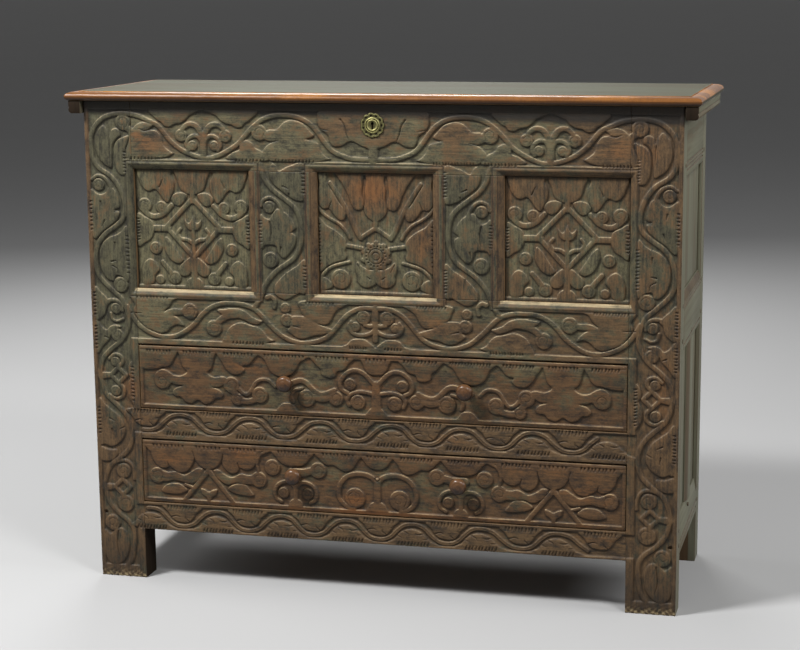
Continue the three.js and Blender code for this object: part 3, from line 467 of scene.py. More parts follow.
vine.stem([
    (-224, 830), (-217, 815), (-213, 800), (-200, 781), (-180, 765), (-160, 750), (-148, 735), (-142, 715),
    (-141, 690), (-145, 670), (-156, 650), (-171, 638), (-190, 625), (-205, 610), (-217, 592), (-223, 575),
    (-236, 554),
])

# The corners where the posts meet the top rail.
vine.boss(-492, 899, 15)
vine.leaf([
    (-481, 874), (-493, 871), (-504, 865), (-511, 853), (-512, 836), (-510, 816), (-504, 803), (-497, 799),
    (-489, 805), (-489, 845), (-484, 860),
])
vine.leaf([
    (-499, 884), (-507, 888), (-516, 884), (-520, 873), (-524, 884), (-532, 893), (-541, 886), (-548, 873),
    (-550, 852), (-546, 838), (-539, 825), (-528, 816), (-518, 813), (-516, 835), (-514, 856), (-505, 869),
    (-498, 874),
])
vine.cut([(-521, 873), (-520, 845), (-523, 828)], 2.4, 1.0)
vine.comb((-491, 803), (-491, 846), 6, (-1, 0))
vine.stem([(-492, 899), (-482, 888), (-470, 880)], 14, 12)

# The top rail's leaves and scrolls.
vine.leaf([
    (-482, 884), (-474, 887), (-462, 897), (-447, 900), (-429, 895), (-429, 895), (-438, 887), (-424, 884),
    (-415, 873), (-411, 858), (-402, 849), (-391, 842), (-391, 842), (-404, 835), (-425, 832), (-450, 831),
    (-485, 831), (-488, 845), (-483, 858), (-480, 870),
])
vine.cut([(-437, 886), (-450, 884), (-460, 888)], 3.0, 1.2)
vine.comb((-480, 832), (-424, 832), 7, (0, 1))
for middle in (-331, 331):
    vine.stem([
        (0, 838), (0, 862), (-5, 882), (-15, 895), (-29, 897), (-40, 889), (-44, 878),
    ], 13, 8, middle)
    vine.boss(-44, 876, 12, middle)
    vine.stem([
        (0, 846), (-3, 864), (-10, 874), (-21, 875), (-31, 868), (-34, 858), (-29, 849),
    ], 9, 7, middle)
    vine.boss(-22, 857, 9.5, middle)
    vine.leaf([
        (-105, 926), (-93, 906), (-83, 900), (-77, 893), (-66, 892), (-56, 897), (-45, 899), (-35, 905),
        (-27, 913), (-17, 918), (-9, 926),
    ], middle)
vine.leaf([
    (-285, 833), (-274, 845), (-260, 851), (-259, 862), (-247, 869), (-234, 864), (-228, 855), (-216, 849),
    (-207, 840), (-205, 831), (-240, 830),
])
vine.comb((-270, 831), (-208, 831), 8, (0, 1))
vine.boss(-220, 883, 15)
vine.stem([(-222, 884), (-204, 878), (-186, 876), (-166, 884)], 16, 24)
vine.leaf([
    (-203, 888), (-186, 890), (-170, 904), (-152, 907), (-134, 901), (-122, 889), (-114, 878), (-130, 872),
    (-130, 872), (-107, 866), (-100, 851), (-91, 841), (-82, 836), (-82, 836), (-100, 832), (-130, 830),
    (-190, 830), (-203, 834), (-214, 842), (-212, 852), (-202, 862), (-190, 868), (-200, 874),
])
vine.cut([(-226, 862), (-213, 858), (-199, 865), (-183, 869)], 3.4, 1.6)
vine.cut([(-202, 906), (-192, 892), (-180, 889)], 3.0, 1.2)
vine.cut([(-108, 868), (-132, 873)], 3.6, 1.4)
vine.comb((-192, 831), (-112, 831), 10, (0, 1))
vine.leaf([
    (0, 846), (9, 856), (22, 861), (38, 869), (48, 868), (60, 861), (76, 860), (83, 869), (86, 880),
    (99, 890), (105, 899), (106, 912), (96, 926), (0, 926),
])
vine.cut([(62, 910), (54, 898), (50, 882), (45, 870)], 3.4, 1.8)
vine.cut([(104, 892), (86, 889)], 3.4, 1.4)
vine.stem([(0, 838), (0, 858)], 20, 16, sides=ONE)

# The posts' leaves, from the top down.
vine.stem([(-520, 764), (-524, 781), (-534, 793), (-548, 797), (-559, 790)], 8, 6)
vine.boss(-546, 780, 12)
vine.leaf([
    (-562, 771), (-547, 762), (-534, 764), (-524, 776), (-512, 769), (-506, 753), (-505, 737), (-515, 732),
    (-505, 727), (-510, 714), (-524, 702), (-541, 690), (-557, 675), (-563, 690), (-563, 750),
])
vine.comb((-562, 690), (-562, 752), 7, (1, 0))
vine.cut([(-543, 748), (-540, 737)], 3.6, 1.2)
vine.cut([(-536, 712), (-541, 700)], 3.0, 1.2)
vine.cut([(-505, 733), (-516, 728)], 3.6, 1.4)
vine.leaf([
    (-490, 696), (-504, 690), (-514, 684), (-528, 679), (-542, 667), (-549, 651), (-550, 630), (-545, 612),
    (-534, 597), (-522, 594), (-517, 605), (-505, 603), (-490, 600),
])
vine.comb((-491, 607), (-491, 686), 9, (-1, 0), 6.0)
vine.cut([(-517, 669), (-517, 655)], 3.4, 1.2)
vine.cut([(-525, 632), (-515, 634)], 3.6, 1.2)
vine.cut([(-524, 624), (-514, 618), (-512, 608)], 2.2, 1.2)
vine.boss(-508, 587, 15)
vine.leaf([
    (-563, 580), (-548, 570), (-537, 560), (-531, 552), (-538, 545), (-541, 534), (-547, 524), (-563, 519),
])
vine.comb((-562, 524), (-562, 574), 6, (1, 0))
vine.stem([(-541, 553), (-530, 556), (-517, 555), (-508, 547), (-507, 536)], 8, 6)
vine.boss(-520, 540, 10.5)
vine.stem([(-531, 530), (-528, 519), (-518, 515), (-506, 520)], 6, 5)
vine.leaf([
    (-563, 514), (-551, 504), (-541, 498), (-533, 505), (-522, 508), (-511, 504), (-523, 498), (-532, 488),
    (-537, 478), (-549, 466), (-563, 452),
])
vine.comb((-562, 458), (-562, 508), 6, (1, 0))
vine.boss(-519, 488, 12.5)
vine.cut([(-545, 484), (-535, 480)], 3.4, 1.2)
for middle_z, half in ((408, 16), (183, 16)):
    vine.stem([
        (-520, middle_z + half), (-520 + half, middle_z), (-520 + half, middle_z), (-520, middle_z - half),
        (-520, middle_z - half), (-520 - half, middle_z), (-520 - half, middle_z), (-520, middle_z + half),
    ], 8)
    vine.stem([(-556, middle_z - 2), (-536, middle_z)], 15, 10)
vine.stem([(-520, 424), (-511, 434), (-514, 446), (-527, 449), (-538, 440)], 8, 6)
vine.boss(-526, 435, 9.5)
vine.stem([(-520, 392), (-510, 381), (-512, 367), (-526, 361), (-540, 368)], 8, 6)
vine.boss(-527, 377, 10.5)
vine.leaf([
    (-488, 432), (-499, 428), (-500, 412), (-495, 404), (-502, 392), (-503, 376), (-499, 362), (-488, 354),
])
vine.comb((-491, 356), (-491, 430), 9, (-1, 0))
vine.leaf([
    (-563, 358), (-549, 348), (-537, 339), (-523, 328), (-514, 314), (-510, 299), (-514, 284), (-525, 271),
    (-540, 264), (-553, 268), (-563, 274),
])
vine.comb((-562, 288), (-562, 346), 7, (1, 0))
vine.cut([(-541, 321), (-531, 316)], 3.4, 1.2)
vine.cut([(-510, 306), (-522, 300)], 3.6, 1.2)
vine.cut([(-538, 300), (-536, 288)], 3.0, 1.2)
vine.leaf([
    (-563, 262), (-549, 259), (-540, 258), (-530, 258), (-529, 247), (-537, 238), (-549, 234), (-563, 237),
])
vine.stem([(-541, 229), (-528, 235), (-513, 237), (-501, 230), (-495, 217), (-495, 200)], 7, 6)
vine.boss(-517, 216, 15)
vine.boss(-515, 150, 17)
vine.stem([(-520, 168), (-516, 155)], 12, 14)
vine.boss(-544, 109, 16)
vine.leaf([
    (-561, 94), (-549, 86), (-537, 97), (-523, 98), (-513, 87), (-510, 68), (-514, 46), (-525, 30),
    (-541, 22), (-557, 30), (-562, 50), (-562, 75),
])
vine.cut([(-533, 92), (-536, 62), (-531, 40)], 3.2, 1.4)
vine.cut([(-560, 98), (-546, 90)], 3.2, 1.4)

# The muntins' leaves.
vine.leaf([
    (-196, 826), (-189, 823), (-183, 813), (-174, 817), (-160, 823), (-134, 825), (-134, 764), (-146, 757),
    (-160, 762), (-172, 770), (-184, 779), (-194, 787), (-200, 798), (-202, 812),
])
vine.comb((-136, 768), (-136, 818), 6, (-1, 0), 6.0)
vine.cut([(-176, 784), (-165, 779)], 3.4, 1.2)
vine.cut([(-164, 770), (-164, 757)], 3.4, 1.4)
vine.stem([(-176, 729), (-182, 745), (-191, 757), (-203, 762), (-215, 757), (-219, 746)], 7, 6)
vine.boss(-204, 744, 11.5)
vine.leaf([
    (-222, 727), (-212, 724), (-204, 722), (-197, 732), (-189, 741), (-178, 738), (-167, 731), (-157, 718),
    (-152, 706), (-160, 698), (-152, 690), (-155, 672), (-165, 658), (-177, 648), (-187, 657), (-191, 670),
    (-203, 673), (-214, 671), (-222, 668),
])
vine.comb((-221, 675), (-221, 722), 6, (1, 0), 6.0)
vine.cut([(-203, 717), (-200, 698), (-203, 680)], 3.0, 1.6)
vine.cut([(-152, 698), (-163, 697)], 3.8, 1.4)
vine.cut([(-182, 669), (-184, 655)], 3.4, 1.4)
vine.boss(-203, 644, 15)
vine.leaf([
    (-134, 645), (-152, 634), (-165, 626), (-177, 617), (-189, 605), (-197, 593), (-196, 580), (-187, 572),
    (-174, 569), (-161, 575), (-149, 582), (-134, 586),
])
vine.comb((-136, 590), (-136, 637), 6, (-1, 0), 6.0)
vine.cut([(-173, 619), (-172, 604)], 3.4, 1.4)
vine.stem([(-212, 572), (-204, 574), (-196, 566), (-198, 553)], 9, 7)

# The middle rail's leaves and scrolls.
vine.leaf([
    (-483, 568), (-480, 549), (-484, 537), (-474, 520), (-460, 506), (-444, 499), (-430, 495), (-417, 498),
    (-406, 508), (-394, 513), (-381, 511), (-388, 522), (-399, 530), (-411, 533), (-420, 538), (-410, 548),
    (-403, 559), (-392, 568),
])
vine.comb((-478, 563), (-410, 563), 9, (0, -1))
vine.cut([(-488, 533), (-466, 533)], 3.2, 1.4)
vine.stem([(-425, 527), (-404, 537), (-388, 538), (-370, 540)], 15, 11)
vine.boss(-368, 540, 15.5)
vine.leaf([
    (-313, 544), (-298, 547), (-284, 549), (-268, 548), (-254, 543), (-241, 533), (-221, 526), (-221, 526),
    (-232, 519), (-246, 521), (-262, 528), (-276, 531), (-290, 529), (-302, 535),
])
vine.stem([(-320, 509), (-309, 523), (-293, 533), (-272, 537)], 12, 14)
vine.boss(-320, 509, 15.5)
vine.leaf([
    (-303, 482), (-297, 498), (-289, 511), (-277, 519), (-262, 522), (-244, 517), (-229, 514), (-219, 505),
    (-212, 496), (-199, 489), (-199, 489), (-212, 485), (-232, 481), (-280, 480),
])
vine.comb((-284, 483), (-218, 483), 9, (0, 1))
vine.leaf([
    (-143, 568), (-146, 552), (-140, 540), (-128, 532), (-112, 525), (-96, 524), (-87, 531), (-81, 543),
    (-73, 553), (-61, 560), (-54, 568),
])
vine.comb((-138, 563), (-78, 563), 8, (0, -1))
vine.leaf([
    (-166, 536), (-145, 539), (-126, 535), (-112, 525), (-97, 520), (-81, 515), (-81, 515), (-94, 507),
    (-109, 503), (-122, 501), (-135, 496), (-150, 495), (-163, 502), (-173, 510), (-167, 518),
])
vine.boss(-173, 530, 12.5)
vine.boss(-176, 553, 10)
vine.cut([(-160, 519), (-146, 516)], 3.2, 1.4)
vine.stem([(0, 558), (0, 498)], 13, 11, sides=ONE)
vine.stem([(0, 527), (9, 524), (20, 526)], 8, 8)
vine.boss(23, 540, 13.5)
vine.stem([(0, 520), (7, 512), (19, 507), (33, 506), (46, 511), (52, 522), (47, 531)], 8, 7)
vine.boss(39, 522, 9.5)
vine.leaf([(4, 482), (13, 494), (22, 499), (34, 500), (47, 497), (56, 488), (66, 482)])
vine.comb((16, 482), (52, 482), 5, (0, 1))


def wave(carving, highs, lows, up, down):
    """The small vine on a narrow rail: crests with a comb leaf under them, and troughs with one above."""
    turns = sorted([(x, 1) for x in highs] + [(x, -1) for x in lows])
    marks = []
    for (here, side), (there, _) in zip(turns, turns[1:]):
        level_here, level_there = (up, down) if side > 0 else (down, up)
        for share, climb in ((-0.1, 0.0), (0.12, 0.0), (0.34, 0.18), (0.52, 0.54), (0.72, 0.88)):
            marks.append((here + (there - here) * share, level_here + (level_there - level_here) * climb))
    carving.stem(marks, 7.6, sides=ONE)
    carving.cut(marks, 1.3, 1.3, sides=ONE)
    for x in highs:
        carving.leaf([
            (x - 45, down - 7), (x - 35, down + 3), (x - 25, down + 15), (x - 13, up - 11), (x + 3, up - 9),
            (x + 17, up - 14), (x + 27, down + 10), (x + 37, down + 1), (x + 49, down - 7),
        ], sides=ONE)
        carving.comb((x - 30, down - 5), (x + 34, down - 5), 9, (0.25, 1), 8.0, sides=ONE)
        carving.cut([(x + 22, up - 17), (x + 12, up - 19), (x + 5, up - 17)], 3.0, 1.2, sides=ONE)
        carving.cut([(x - 18, up - 13), (x - 8, up - 18), (x - 6, up - 23)], 2.6, 1.2, sides=ONE)
        carving.cut([(x + 33, down + 6), (x + 22, down + 5)], 2.6, 1.2, sides=ONE)
        carving.cut([(x - 30, down + 10), (x - 20, down + 6)], 2.6, 1.2, sides=ONE)
    for x in lows:
        carving.leaf([
            (x - 38, up + 8), (x - 29, up - 6), (x - 22, up - 17), (x - 13, down + 9), (x, down + 7),
            (x + 13, down + 8), (x + 21, up - 18), (x + 28, up - 7), (x + 38, up + 8),
        ], sides=ONE)
        carving.comb((x - 32, up + 4), (x + 32, up + 4), 9, (-0.25, -1), 8.0, sides=ONE)
        carving.cut([(x - 23, up - 15), (x - 12, up - 12), (x - 5, up - 14)], 3.0, 1.2, sides=ONE)
        carving.cut([(x + 14, down + 10), (x + 8, down + 15), (x + 7, down + 20)], 2.6, 1.2, sides=ONE)
        carving.cut([(x + 29, up - 9), (x + 20, up - 8)], 2.6, 1.2, sides=ONE)


wave(vine, (-395, -252, -110, 30, 165, 300, 440), (-466, -323, -185, -44, 95, 234, 372), 334.5, 302.0)
wave(vine, (-462, -325, -192, -62, 68, 200, 347), (-397, -262, -130, 2, 135, 278, 428), 143.5, 111.0)

MOULD_ON_POST_MM = 15.0
MOULD_ON_MUNTIN_MM = 24.0
MOULD_ON_RAIL_MM = 17.0
MOULD_DROP_MM = 8.0
opening_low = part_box("front_middle_rail")[1].z / MM
opening_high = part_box("front_top_rail")[0].z / MM
muntin_low_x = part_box("front_muntin_right")[0].x / MM
muntin_high_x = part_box("front_muntin_right")[1].x / MM


def box_distance(x, z, box):
    """The distance outside a rectangle, less than zero inside it."""
    over_x = np.maximum(box[0] - x, x - box[1])
    over_z = np.maximum(box[2] - z, z - box[3])
    return np.where((over_x < 0) & (over_z < 0), np.maximum(over_x, over_z),
                    np.hypot(np.maximum(over_x, 0), np.maximum(over_z, 0)))


def lifted(distance):
    """How much of the wall stands this far inside a shape's edge, and how far its shoulder has worn."""
    inside = -distance
    share = np.clip((inside + WALL_MM / 2) / WALL_MM, 0.0, 1.0)
    share = share * share * (3 - 2 * share)
    shoulder = SHOULDER_MM * np.exp(-np.maximum(inside, 0.0) / SHOULDER_REACH_MM)
    return share, shoulder


def hand_marks(x, z):
    """The slow unevenness of hand work, between -1 and 1."""
    first = np.sin(0.23 * x + 1.3 * np.sin(0.11 * z)) * np.sin(0.31 * z + 1.7 * np.sin(0.07 * x))
    second = np.sin(0.61 * x + 0.53 * z + np.sin(0.19 * x)) * np.sin(0.47 * z - 0.37 * x)
    return 0.6 * first + 0.4 * second


# Soft spots where handling has taken the paint back to orange-brown oak: middle, reach and strength.
WORN_SPOTS = (
    (0, 778, 62, 40, 1.0), (0, 925, 70, 45, 0.7), (-455, 868, 45, 30, 0.7), (-505, 900, 28, 22, 0.6),
    (450, 868, 40, 30, 0.8), (505, 905, 25, 20, 0.3), (-331, 880, 20, 22, 0.6), (160, 868, 60, 30, 0.4),
    (-420, 780, 45, 28, 0.6), (-330, 650, 45, 30, 0.7), (260, 780, 25, 45, 0.6), (330, 640, 30, 30, 0.4),
    (90, 690, 26, 60, 0.7), (-250, 440, 60, 20, 0.7), (-300, 375, 80, 22, 0.5), (-430, 435, 60, 26, 0.5),
    (0, 400, 70, 26, 0.6), (-420, 245, 60, 30, 0.5), (-280, 245, 60, 28, 0.6), (-40, 190, 34, 30, 0.7),
    (320, 262, 150, 22, 0.45), (410, 225, 60, 30, 0.5), (-470, 320, 50, 20, 0.6), (150, 312, 60, 20, 0.5),
    (430, 135, 60, 24, 0.6), (-140, 112, 60, 10, 0.5), (30, 545, 60, 30, 0.4), (120, 520, 50, 26, 0.5),
    (-495, 390, 20, 40, 0.8), (510, 860, 30, 40, 0.6), (540, 400, 26, 120, 0.5), (-545, 20, 60, 22, 0.1),
    (535, 25, 60, 26, 0.1), (-262, 268, 60, 12, 0.5), (0, 468, 420, 5, 0.7), (0, 162, 460, 6, 0.9),
)


def worn(x, z):
    """How much each spot has been handled."""
    amount = np.zeros(x.shape)
    for spot_x, spot_z, reach_x, reach_z, strength in WORN_SPOTS:
        amount += strength * np.exp(-(((x - spot_x) / reach_x) ** 2 + ((z - spot_z) / reach_z) ** 2))
    return amount


def aged_and_shaded(x, z):
    """How far the paint has browned: least on the left post, most low down and at the top right.
    The extra at the top right is painted shade, darkening the corner where less light falls.
    """
    amount = 0.12 + 0.1 * np.clip((x + 150) / 600, 0, 1) + 0.24 * np.clip((600 - z) / 260, 0, 1)
    # Painted shade: the top right turns browner and darker.
    amount = amount + 0.24 * np.clip((x - 280) / 200, 0, 1) * np.clip((z - 700) / 150, 0, 1)
    return amount - 0.2 * np.exp(-(((x + 520) / 60) ** 2)) * np.clip((z - 250) / 200, 0, 1)


def relief(carving, fields, xs, zs, ground=GROUND_MM, about=0.0):
    """Depth below the face over a grid, and the marks that the finish reads: how raised each spot is,
    how near an edge (wear, and a painted highlight heavier on edges that face up), how deep in a corner
    or a cut (dirt, and painted shade heavier under shapes), how much handled, and how far browned
    or, at the top right, darkened as painted shade."""
    x, z = np.meshgrid(xs - about, zs)
    open_ground = np.full(x.shape, ENDLESS)
    for box in fields:
        open_ground = np.minimum(open_ground, box_distance(x, z, box))
    shape = np.minimum(carving.measured(carving.standing, xs - about, zs), -open_ground)
    cuts = carving.measured(carving.cuts, xs - about, zs)
    share, shoulder = lifted(shape)
    into = np.clip(-cuts / CUT_SLOPE_MM + 0.25, 0.0, 1.0)
    uneven = hand_marks(x, z)
    depth = (1 - share) * (ground + ROUGH_GROUND_MM * uneven)
    depth = depth + share * (shoulder + ROUGH_FACE_MM * (1 + uneven))
    depth = np.maximum(depth, into * (ground - CUTS_SHORT_OF_GROUND_MM))
    raised = share * (1 - into)
    upper = np.gradient(shape, zs, axis=0)
    # The edge mark is wear and a painted highlight: strongest on edges that face up, where light falls.
    near_edge = np.exp(-np.maximum(-shape, 0.0) / EDGE_REACH_MM)
    edge = raised * near_edge * np.clip(0.12 + 1.1 * upper, 0.0, 1.1)
    # The corner mark is dirt and painted shade: it darkens the foot of each wall, most under a shape, and the
    # cuts.
    foot = np.exp(-np.maximum(shape, 0.0) / CORNER_REACH_MM) * np.clip(0.68 - 0.6 * upper, 0.3, 1.2)
    corner = np.maximum((1 - share) * foot, 0.38 * into)
    x, z = np.meshgrid(xs, zs)
    marks = {"raised": raised, "edge": edge, "corner": corner, "handled": worn(x, z), "aged_and_shaded": aged_and_shaded(x, z)}
    return depth, marks


def woven(wide, high):
    """The four-sided faces of a grid of points, and the points round its rim in order."""
    index = np.arange(wide * high).reshape(high, wide)
    quads = np.stack([index[:-1, :-1], index[:-1, 1:], index[1:, 1:], index[1:, :-1]], -1).reshape(-1, 4)
    rim = np.concatenate([index[0, :-1], index[:-1, -1], index[-1, :0:-1], index[:0:-1, 0]])
    return quads, rim


def keep(mesh, mark, values):
    """Keeps a value at each point of a mesh, for its finish to read."""
    kept = mesh.attributes.new(mark, "FLOAT", "POINT")
    kept.data.foreach_set("value", np.asarray(values, np.float32).ravel())


LEG_HIGH_MM = 106.0


def carved_board(name, box, back, depths, marks, xs, zs, materials, face_y=front_y):
    """A closed board with its front cut to the depths, flat sides and back. The marks go with its points.
    The finishes are the front's, the other sides', the case's outer side's, and a near-black oak
    that is painted shade on the legs' inner faces."""
    x, z = np.meshgrid(xs, zs)
    front = np.stack([x, face_y + depths, z], -1).reshape(-1, 3)
    quads, ring = woven(len(xs), len(zs))
    rear = front[ring].copy()
    rear[:, 1] = back
    middle = np.array([[(box[0] + box[1]) / 2, back, (box[2] + box[3]) / 2]])
    points = np.concatenate([front, rear, middle]) * MM
    after = np.roll(ring, -1)
    low = len(front) + np.arange(len(ring))
    low_after = np.roll(low, -1)
    sides = np.stack([after, ring, low, low_after], -1)
    fan = np.stack([low_after, low, np.full(len(ring), len(points) - 1)], -1)
    mesh = bpy.data.meshes.new(name)
    mesh.vertices.add(len(points))
    mesh.vertices.foreach_set("co", points.astype(np.float32).ravel())
    corners = np.concatenate([quads.ravel(), sides.ravel(), fan.ravel()])
    sizes = np.concatenate([np.full(len(quads) + len(sides), 4), np.full(len(fan), 3)])
    mesh.loops.add(len(corners))
    mesh.loops.foreach_set("vertex_index", corners.astype(np.int32))
    mesh.polygons.add(len(sizes))
    mesh.polygons.foreach_set("loop_start", (np.cumsum(sizes) - sizes).astype(np.int32))
    slots = np.concatenate([np.zeros(len(quads), np.int32), np.ones(len(sides) + len(fan), np.int32)])
    mesh.polygons.foreach_set("material_index", slots)
    mesh.polygons.foreach_set("use_smooth", slots == 0)
    for material in materials:
        mesh.materials.append(material)
    mesh.update(calc_edges=True)
    if len(materials) > 2:
        for face in mesh.polygons:
            if face.material_index and abs(face.center.x) > (post_out - 1) * MM:
                face.material_index = 2
            # Below the leg's height, the inner faces take the near-black oak as painted shade.
            elif face.material_index and box[2] == 0 and face.center.z < LEG_HIGH_MM * MM:
                face.material_index = 3
    for mark, values in marks.items():
        flat = values.ravel()
        keep(mesh, mark, np.concatenate([flat, flat[ring], [0.0]]))
    made = bpy.data.objects.new(name, mesh)
    bpy.context.scene.collection.objects.link(made)
    return made


def grid_lines(low, high, spacing):
    """Evenly spaced lines from low to high, near the spacing asked for."""
    return np.linspace(low, high, int(round((high - low) / spacing)) + 1)


def painted_oak(name, paints, oaks, wear, grain="x"):
    """Old green-grey paint over oak: kept in what was cut away, rubbed brown on what stands up. Edges
    turn to a pale paint, as wear and as painted highlight, and corners to a dark colour, as dirt and
    painted shade.
    """
    finish = Finish(name)
    fine = (13.0, 90.0, 230.0) if grain == "x" else (230.0, 90.0, 13.0)
    broad = (5.0, 14.0, 22.0) if grain == "x" else (22.0, 14.0, 5.0)
    lines = (26.0, 200.0, 900.0) if grain == "x" else (900.0, 200.0, 26.0)
    streaks = finish.noise(finish.stretched(*fine), 1.0, 4.0, 0.65)
    patches = finish.noise(finish.stretched(*broad), 1.0, 4.0, 0.65)
    scratches = finish.noise(finish.stretched(*lines), 1.0, 2.0, 0.6)
    clouds = finish.noise(finish.place, 16.0, 4.0, 0.6)
    mottle = finish.noise(finish.stretched(*(0.15 * share + 32.0 for share in fine)), 1.0, 5.0, 0.78)
    specks = finish.noise(finish.place, 300.0, 3.0, 0.7)
    raised = finish.own("raised")
    edge = finish.own("edge")
    corner = finish.own("corner")
    handled = finish.own("handled")
    deep_paint, paint, rubbed_and_lit_paint, cool_paint = paints
    deep_oak, oak, glowing_oak = oaks
    rubbed = raised * 0.07 + handled * 0.3
    bare = patches * 0.8 + clouds * 0.9 + streaks * 0.3 + mottle * 1.3 + rubbed
    bare = bare + finish.own("aged_and_shaded") + (wear - 1.76)
    grit = streaks * 0.32 + mottle * 0.75 + specks * 0.16
    body = grit.between(0.44, 0.74)
    tone = finish.mixed(body, deep_paint, paint)
    cool = clouds * 0.9 + mottle * 0.6 - raised * 0.08 - 0.78
    tone = finish.mixed(cool.between(0.0, 0.2) * 0.75, tone, cool_paint)
    wood = finish.mixed(body, deep_oak, oak)
    glow = handled * 0.5 + patches * 0.6 + mottle * 0.9 + streaks * 0.4 - 1.14
    wood = finish.mixed(glow.between(0.0, 0.5) * 0.8, wood, glowing_oak)
    colour = finish.mixed(bare.between(0.0, 0.3) * 0.9, tone, wood)
    # Painted highlight and wear: edges, most of all those that face up, turn to the pale paint.
    lit = edge + scratches * 0.4 + mottle * 0.7 - 0.8
    colour = finish.mixed(lit.between(0.0, 0.6) * 0.9, colour, rubbed_and_lit_paint)
    colour = finish.mixed((0.58 - scratches).between(0.0, 0.24) * 0.3, colour, DIRT_AND_SHADE)
    colour = finish.mixed((0.5 - grit).between(0.0, 0.12) * 0.5, colour, DIRT_AND_SHADE)
    # Painted shade and dirt: the corner mark darkens wall feet, cuts, quirks and the band under the lid.
    colour = finish.mixed((corner * 1.05).held() * 0.95, colour, DIRT_AND_SHADE)
    height = streaks * 0.5 + scratches * 0.3 + specks * 0.35
    rough = 0.5 + specks * 0.3 - rubbed * 0.15
    return finish.done(colour, rough, finish.bump(height + mottle * 0.5, 0.5, 0.0014), Specular_IOR_Level=0.4)


# The dark of dirt in the grain, and of the painted shade in corners, cuts, quirks and under the lid.
DIRT_AND_SHADE = srgb(24, 20, 15)
# Of a paint: its deep tone, its body, the pale that its edges take as wear and as painted highlight,
# and its cooler patches.
# Of the oak under it: its deep tone, its body and its glow.
GREEN_PAINT = (srgb(44, 41, 30), srgb(117, 111, 82), srgb(196, 176, 136), srgb(95, 105, 82))
BROWN_OAK = (srgb(42, 31, 21), srgb(108, 82, 54), srgb(134, 84, 42))
GREY_PAINT = (srgb(40, 34, 25), srgb(116, 106, 76), srgb(192, 166, 122), srgb(90, 94, 70))
RED_BROWN_OAK = (srgb(38, 26, 17), srgb(102, 72, 44), srgb(132, 80, 36))
POST_PAINT = (srgb(38, 35, 26), srgb(94, 90, 67), srgb(176, 156, 118), srgb(80, 90, 71))
rail_front = painted_oak("painted_rail", GREEN_PAINT, BROWN_OAK, 0.0)
post_front = painted_oak("painted_post", POST_PAINT, BROWN_OAK, -0.06, "z")
panel_front = painted_oak("painted_panel", GREEN_PAINT, BROWN_OAK, 0.02, "z")
drawer_paint = painted_oak("painted_drawer", GREY_PAINT, RED_BROWN_OAK, -0.04)


def plain_oak(name, light, dark, streak, grain, roughness=0.62, gloss=0.35):
    """A plain board: long grain, slow changes of tone, and fine pores."""
    finish = Finish(name)
    fine = {"x": (4.0, 90.0, 120.0), "y": (90.0, 4.0, 120.0), "z": (120.0, 90.0, 4.0)}[grain]
    broad = {"x": (1.6, 14.0, 14.0), "y": (14.0, 1.6, 14.0), "z": (14.0, 14.0, 1.6)}[grain]
    streaks = finish.noise(finish.stretched(*fine), 1.0, 5.0, 0.62)
    patches = finish.noise(finish.stretched(*broad), 1.0, 4.0, 0.6)
    pores = finish.noise(finish.stretched(*(3.5 * share for share in fine)), 1.0, 2.0, 0.5)
    colour = finish.mixed((streaks * 0.6 + patches * 0.5).between(0.3, 0.82), light, dark)
    colour = finish.mixed((patches + pores * 0.4).between(0.68, 0.95) * 0.7, colour, streak)
    height = streaks * 0.6 + pores * 0.4
    rough = streaks * 0.18 + (roughness - 0.09)
    return finish.done(colour, rough, finish.bump(height, 0.3, 0.0009), Specular_IOR_Level=gloss)


SIDE_PAINT = (srgb(118, 117, 98), srgb(92, 90, 73), srgb(98, 78, 56))
side_paint = plain_oak("side_paint", *SIDE_PAINT, "z")
side_paint_level = plain_oak("side_paint_level", *SIDE_PAINT, "y")
INNER_OAK = (srgb(134, 107, 75), srgb(106, 82, 56), srgb(78, 59, 41))
inner_along = plain_oak("inner_oak", *INNER_OAK, "x", 0.72, 0.25)
# A near-black oak that is painted shade: on the legs' inner faces and the front ends of the lid's cleats.
PAINTED_SHADE_OAK = (srgb(46, 36, 27), srgb(36, 28, 20), srgb(27, 21, 15))
painted_shade_oak = plain_oak("painted_shade_oak", *PAINTED_SHADE_OAK, "z", 0.85, 0.1)
inner_upright = plain_oak("inner_oak_upright", *INNER_OAK, "z", 0.72, 0.25)

# The three openings: left, right, low and high, and how wide the moulding is on either side.
opening_boxes = (
    (-post_in, -muntin_high_x, opening_low, opening_high, MOULD_ON_POST_MM, MOULD_ON_MUNTIN_MM),
    (-muntin_low_x, muntin_low_x, opening_low, opening_high, MOULD_ON_MUNTIN_MM, MOULD_ON_MUNTIN_MM),
    (muntin_high_x, post_in, opening_low, opening_high, MOULD_ON_MUNTIN_MM, MOULD_ON_POST_MM),
)
MOULD_SHARES = (0.0, 0.06, 0.14, 0.2, 0.3, 0.42, 0.52, 0.58, 0.66, 1.0)
MOULD_DEPTHS = (0.0, 1.6, 1.9, 1.0, 0.5, 0.7, 1.6, 2.6, 2.9, MOULD_DROP_MM)


def mould_depth(x, z):
    """The moulding round each panel: a quirk, a bead and a long slope, mitred in the corners."""
    share = np.zeros(x.shape)
    for left, right, low, high, on_left, on_right in opening_boxes:
        out_x = np.maximum((left - x) / on_left, (x - right) / on_right)
        out_z = np.maximum(low - z, z - high) / MOULD_ON_RAIL_MM
        share = np.maximum(share, 1 - np.maximum(np.maximum(out_x, out_z), 0.0))
    return np.interp(share, MOULD_SHARES, MOULD_DEPTHS)


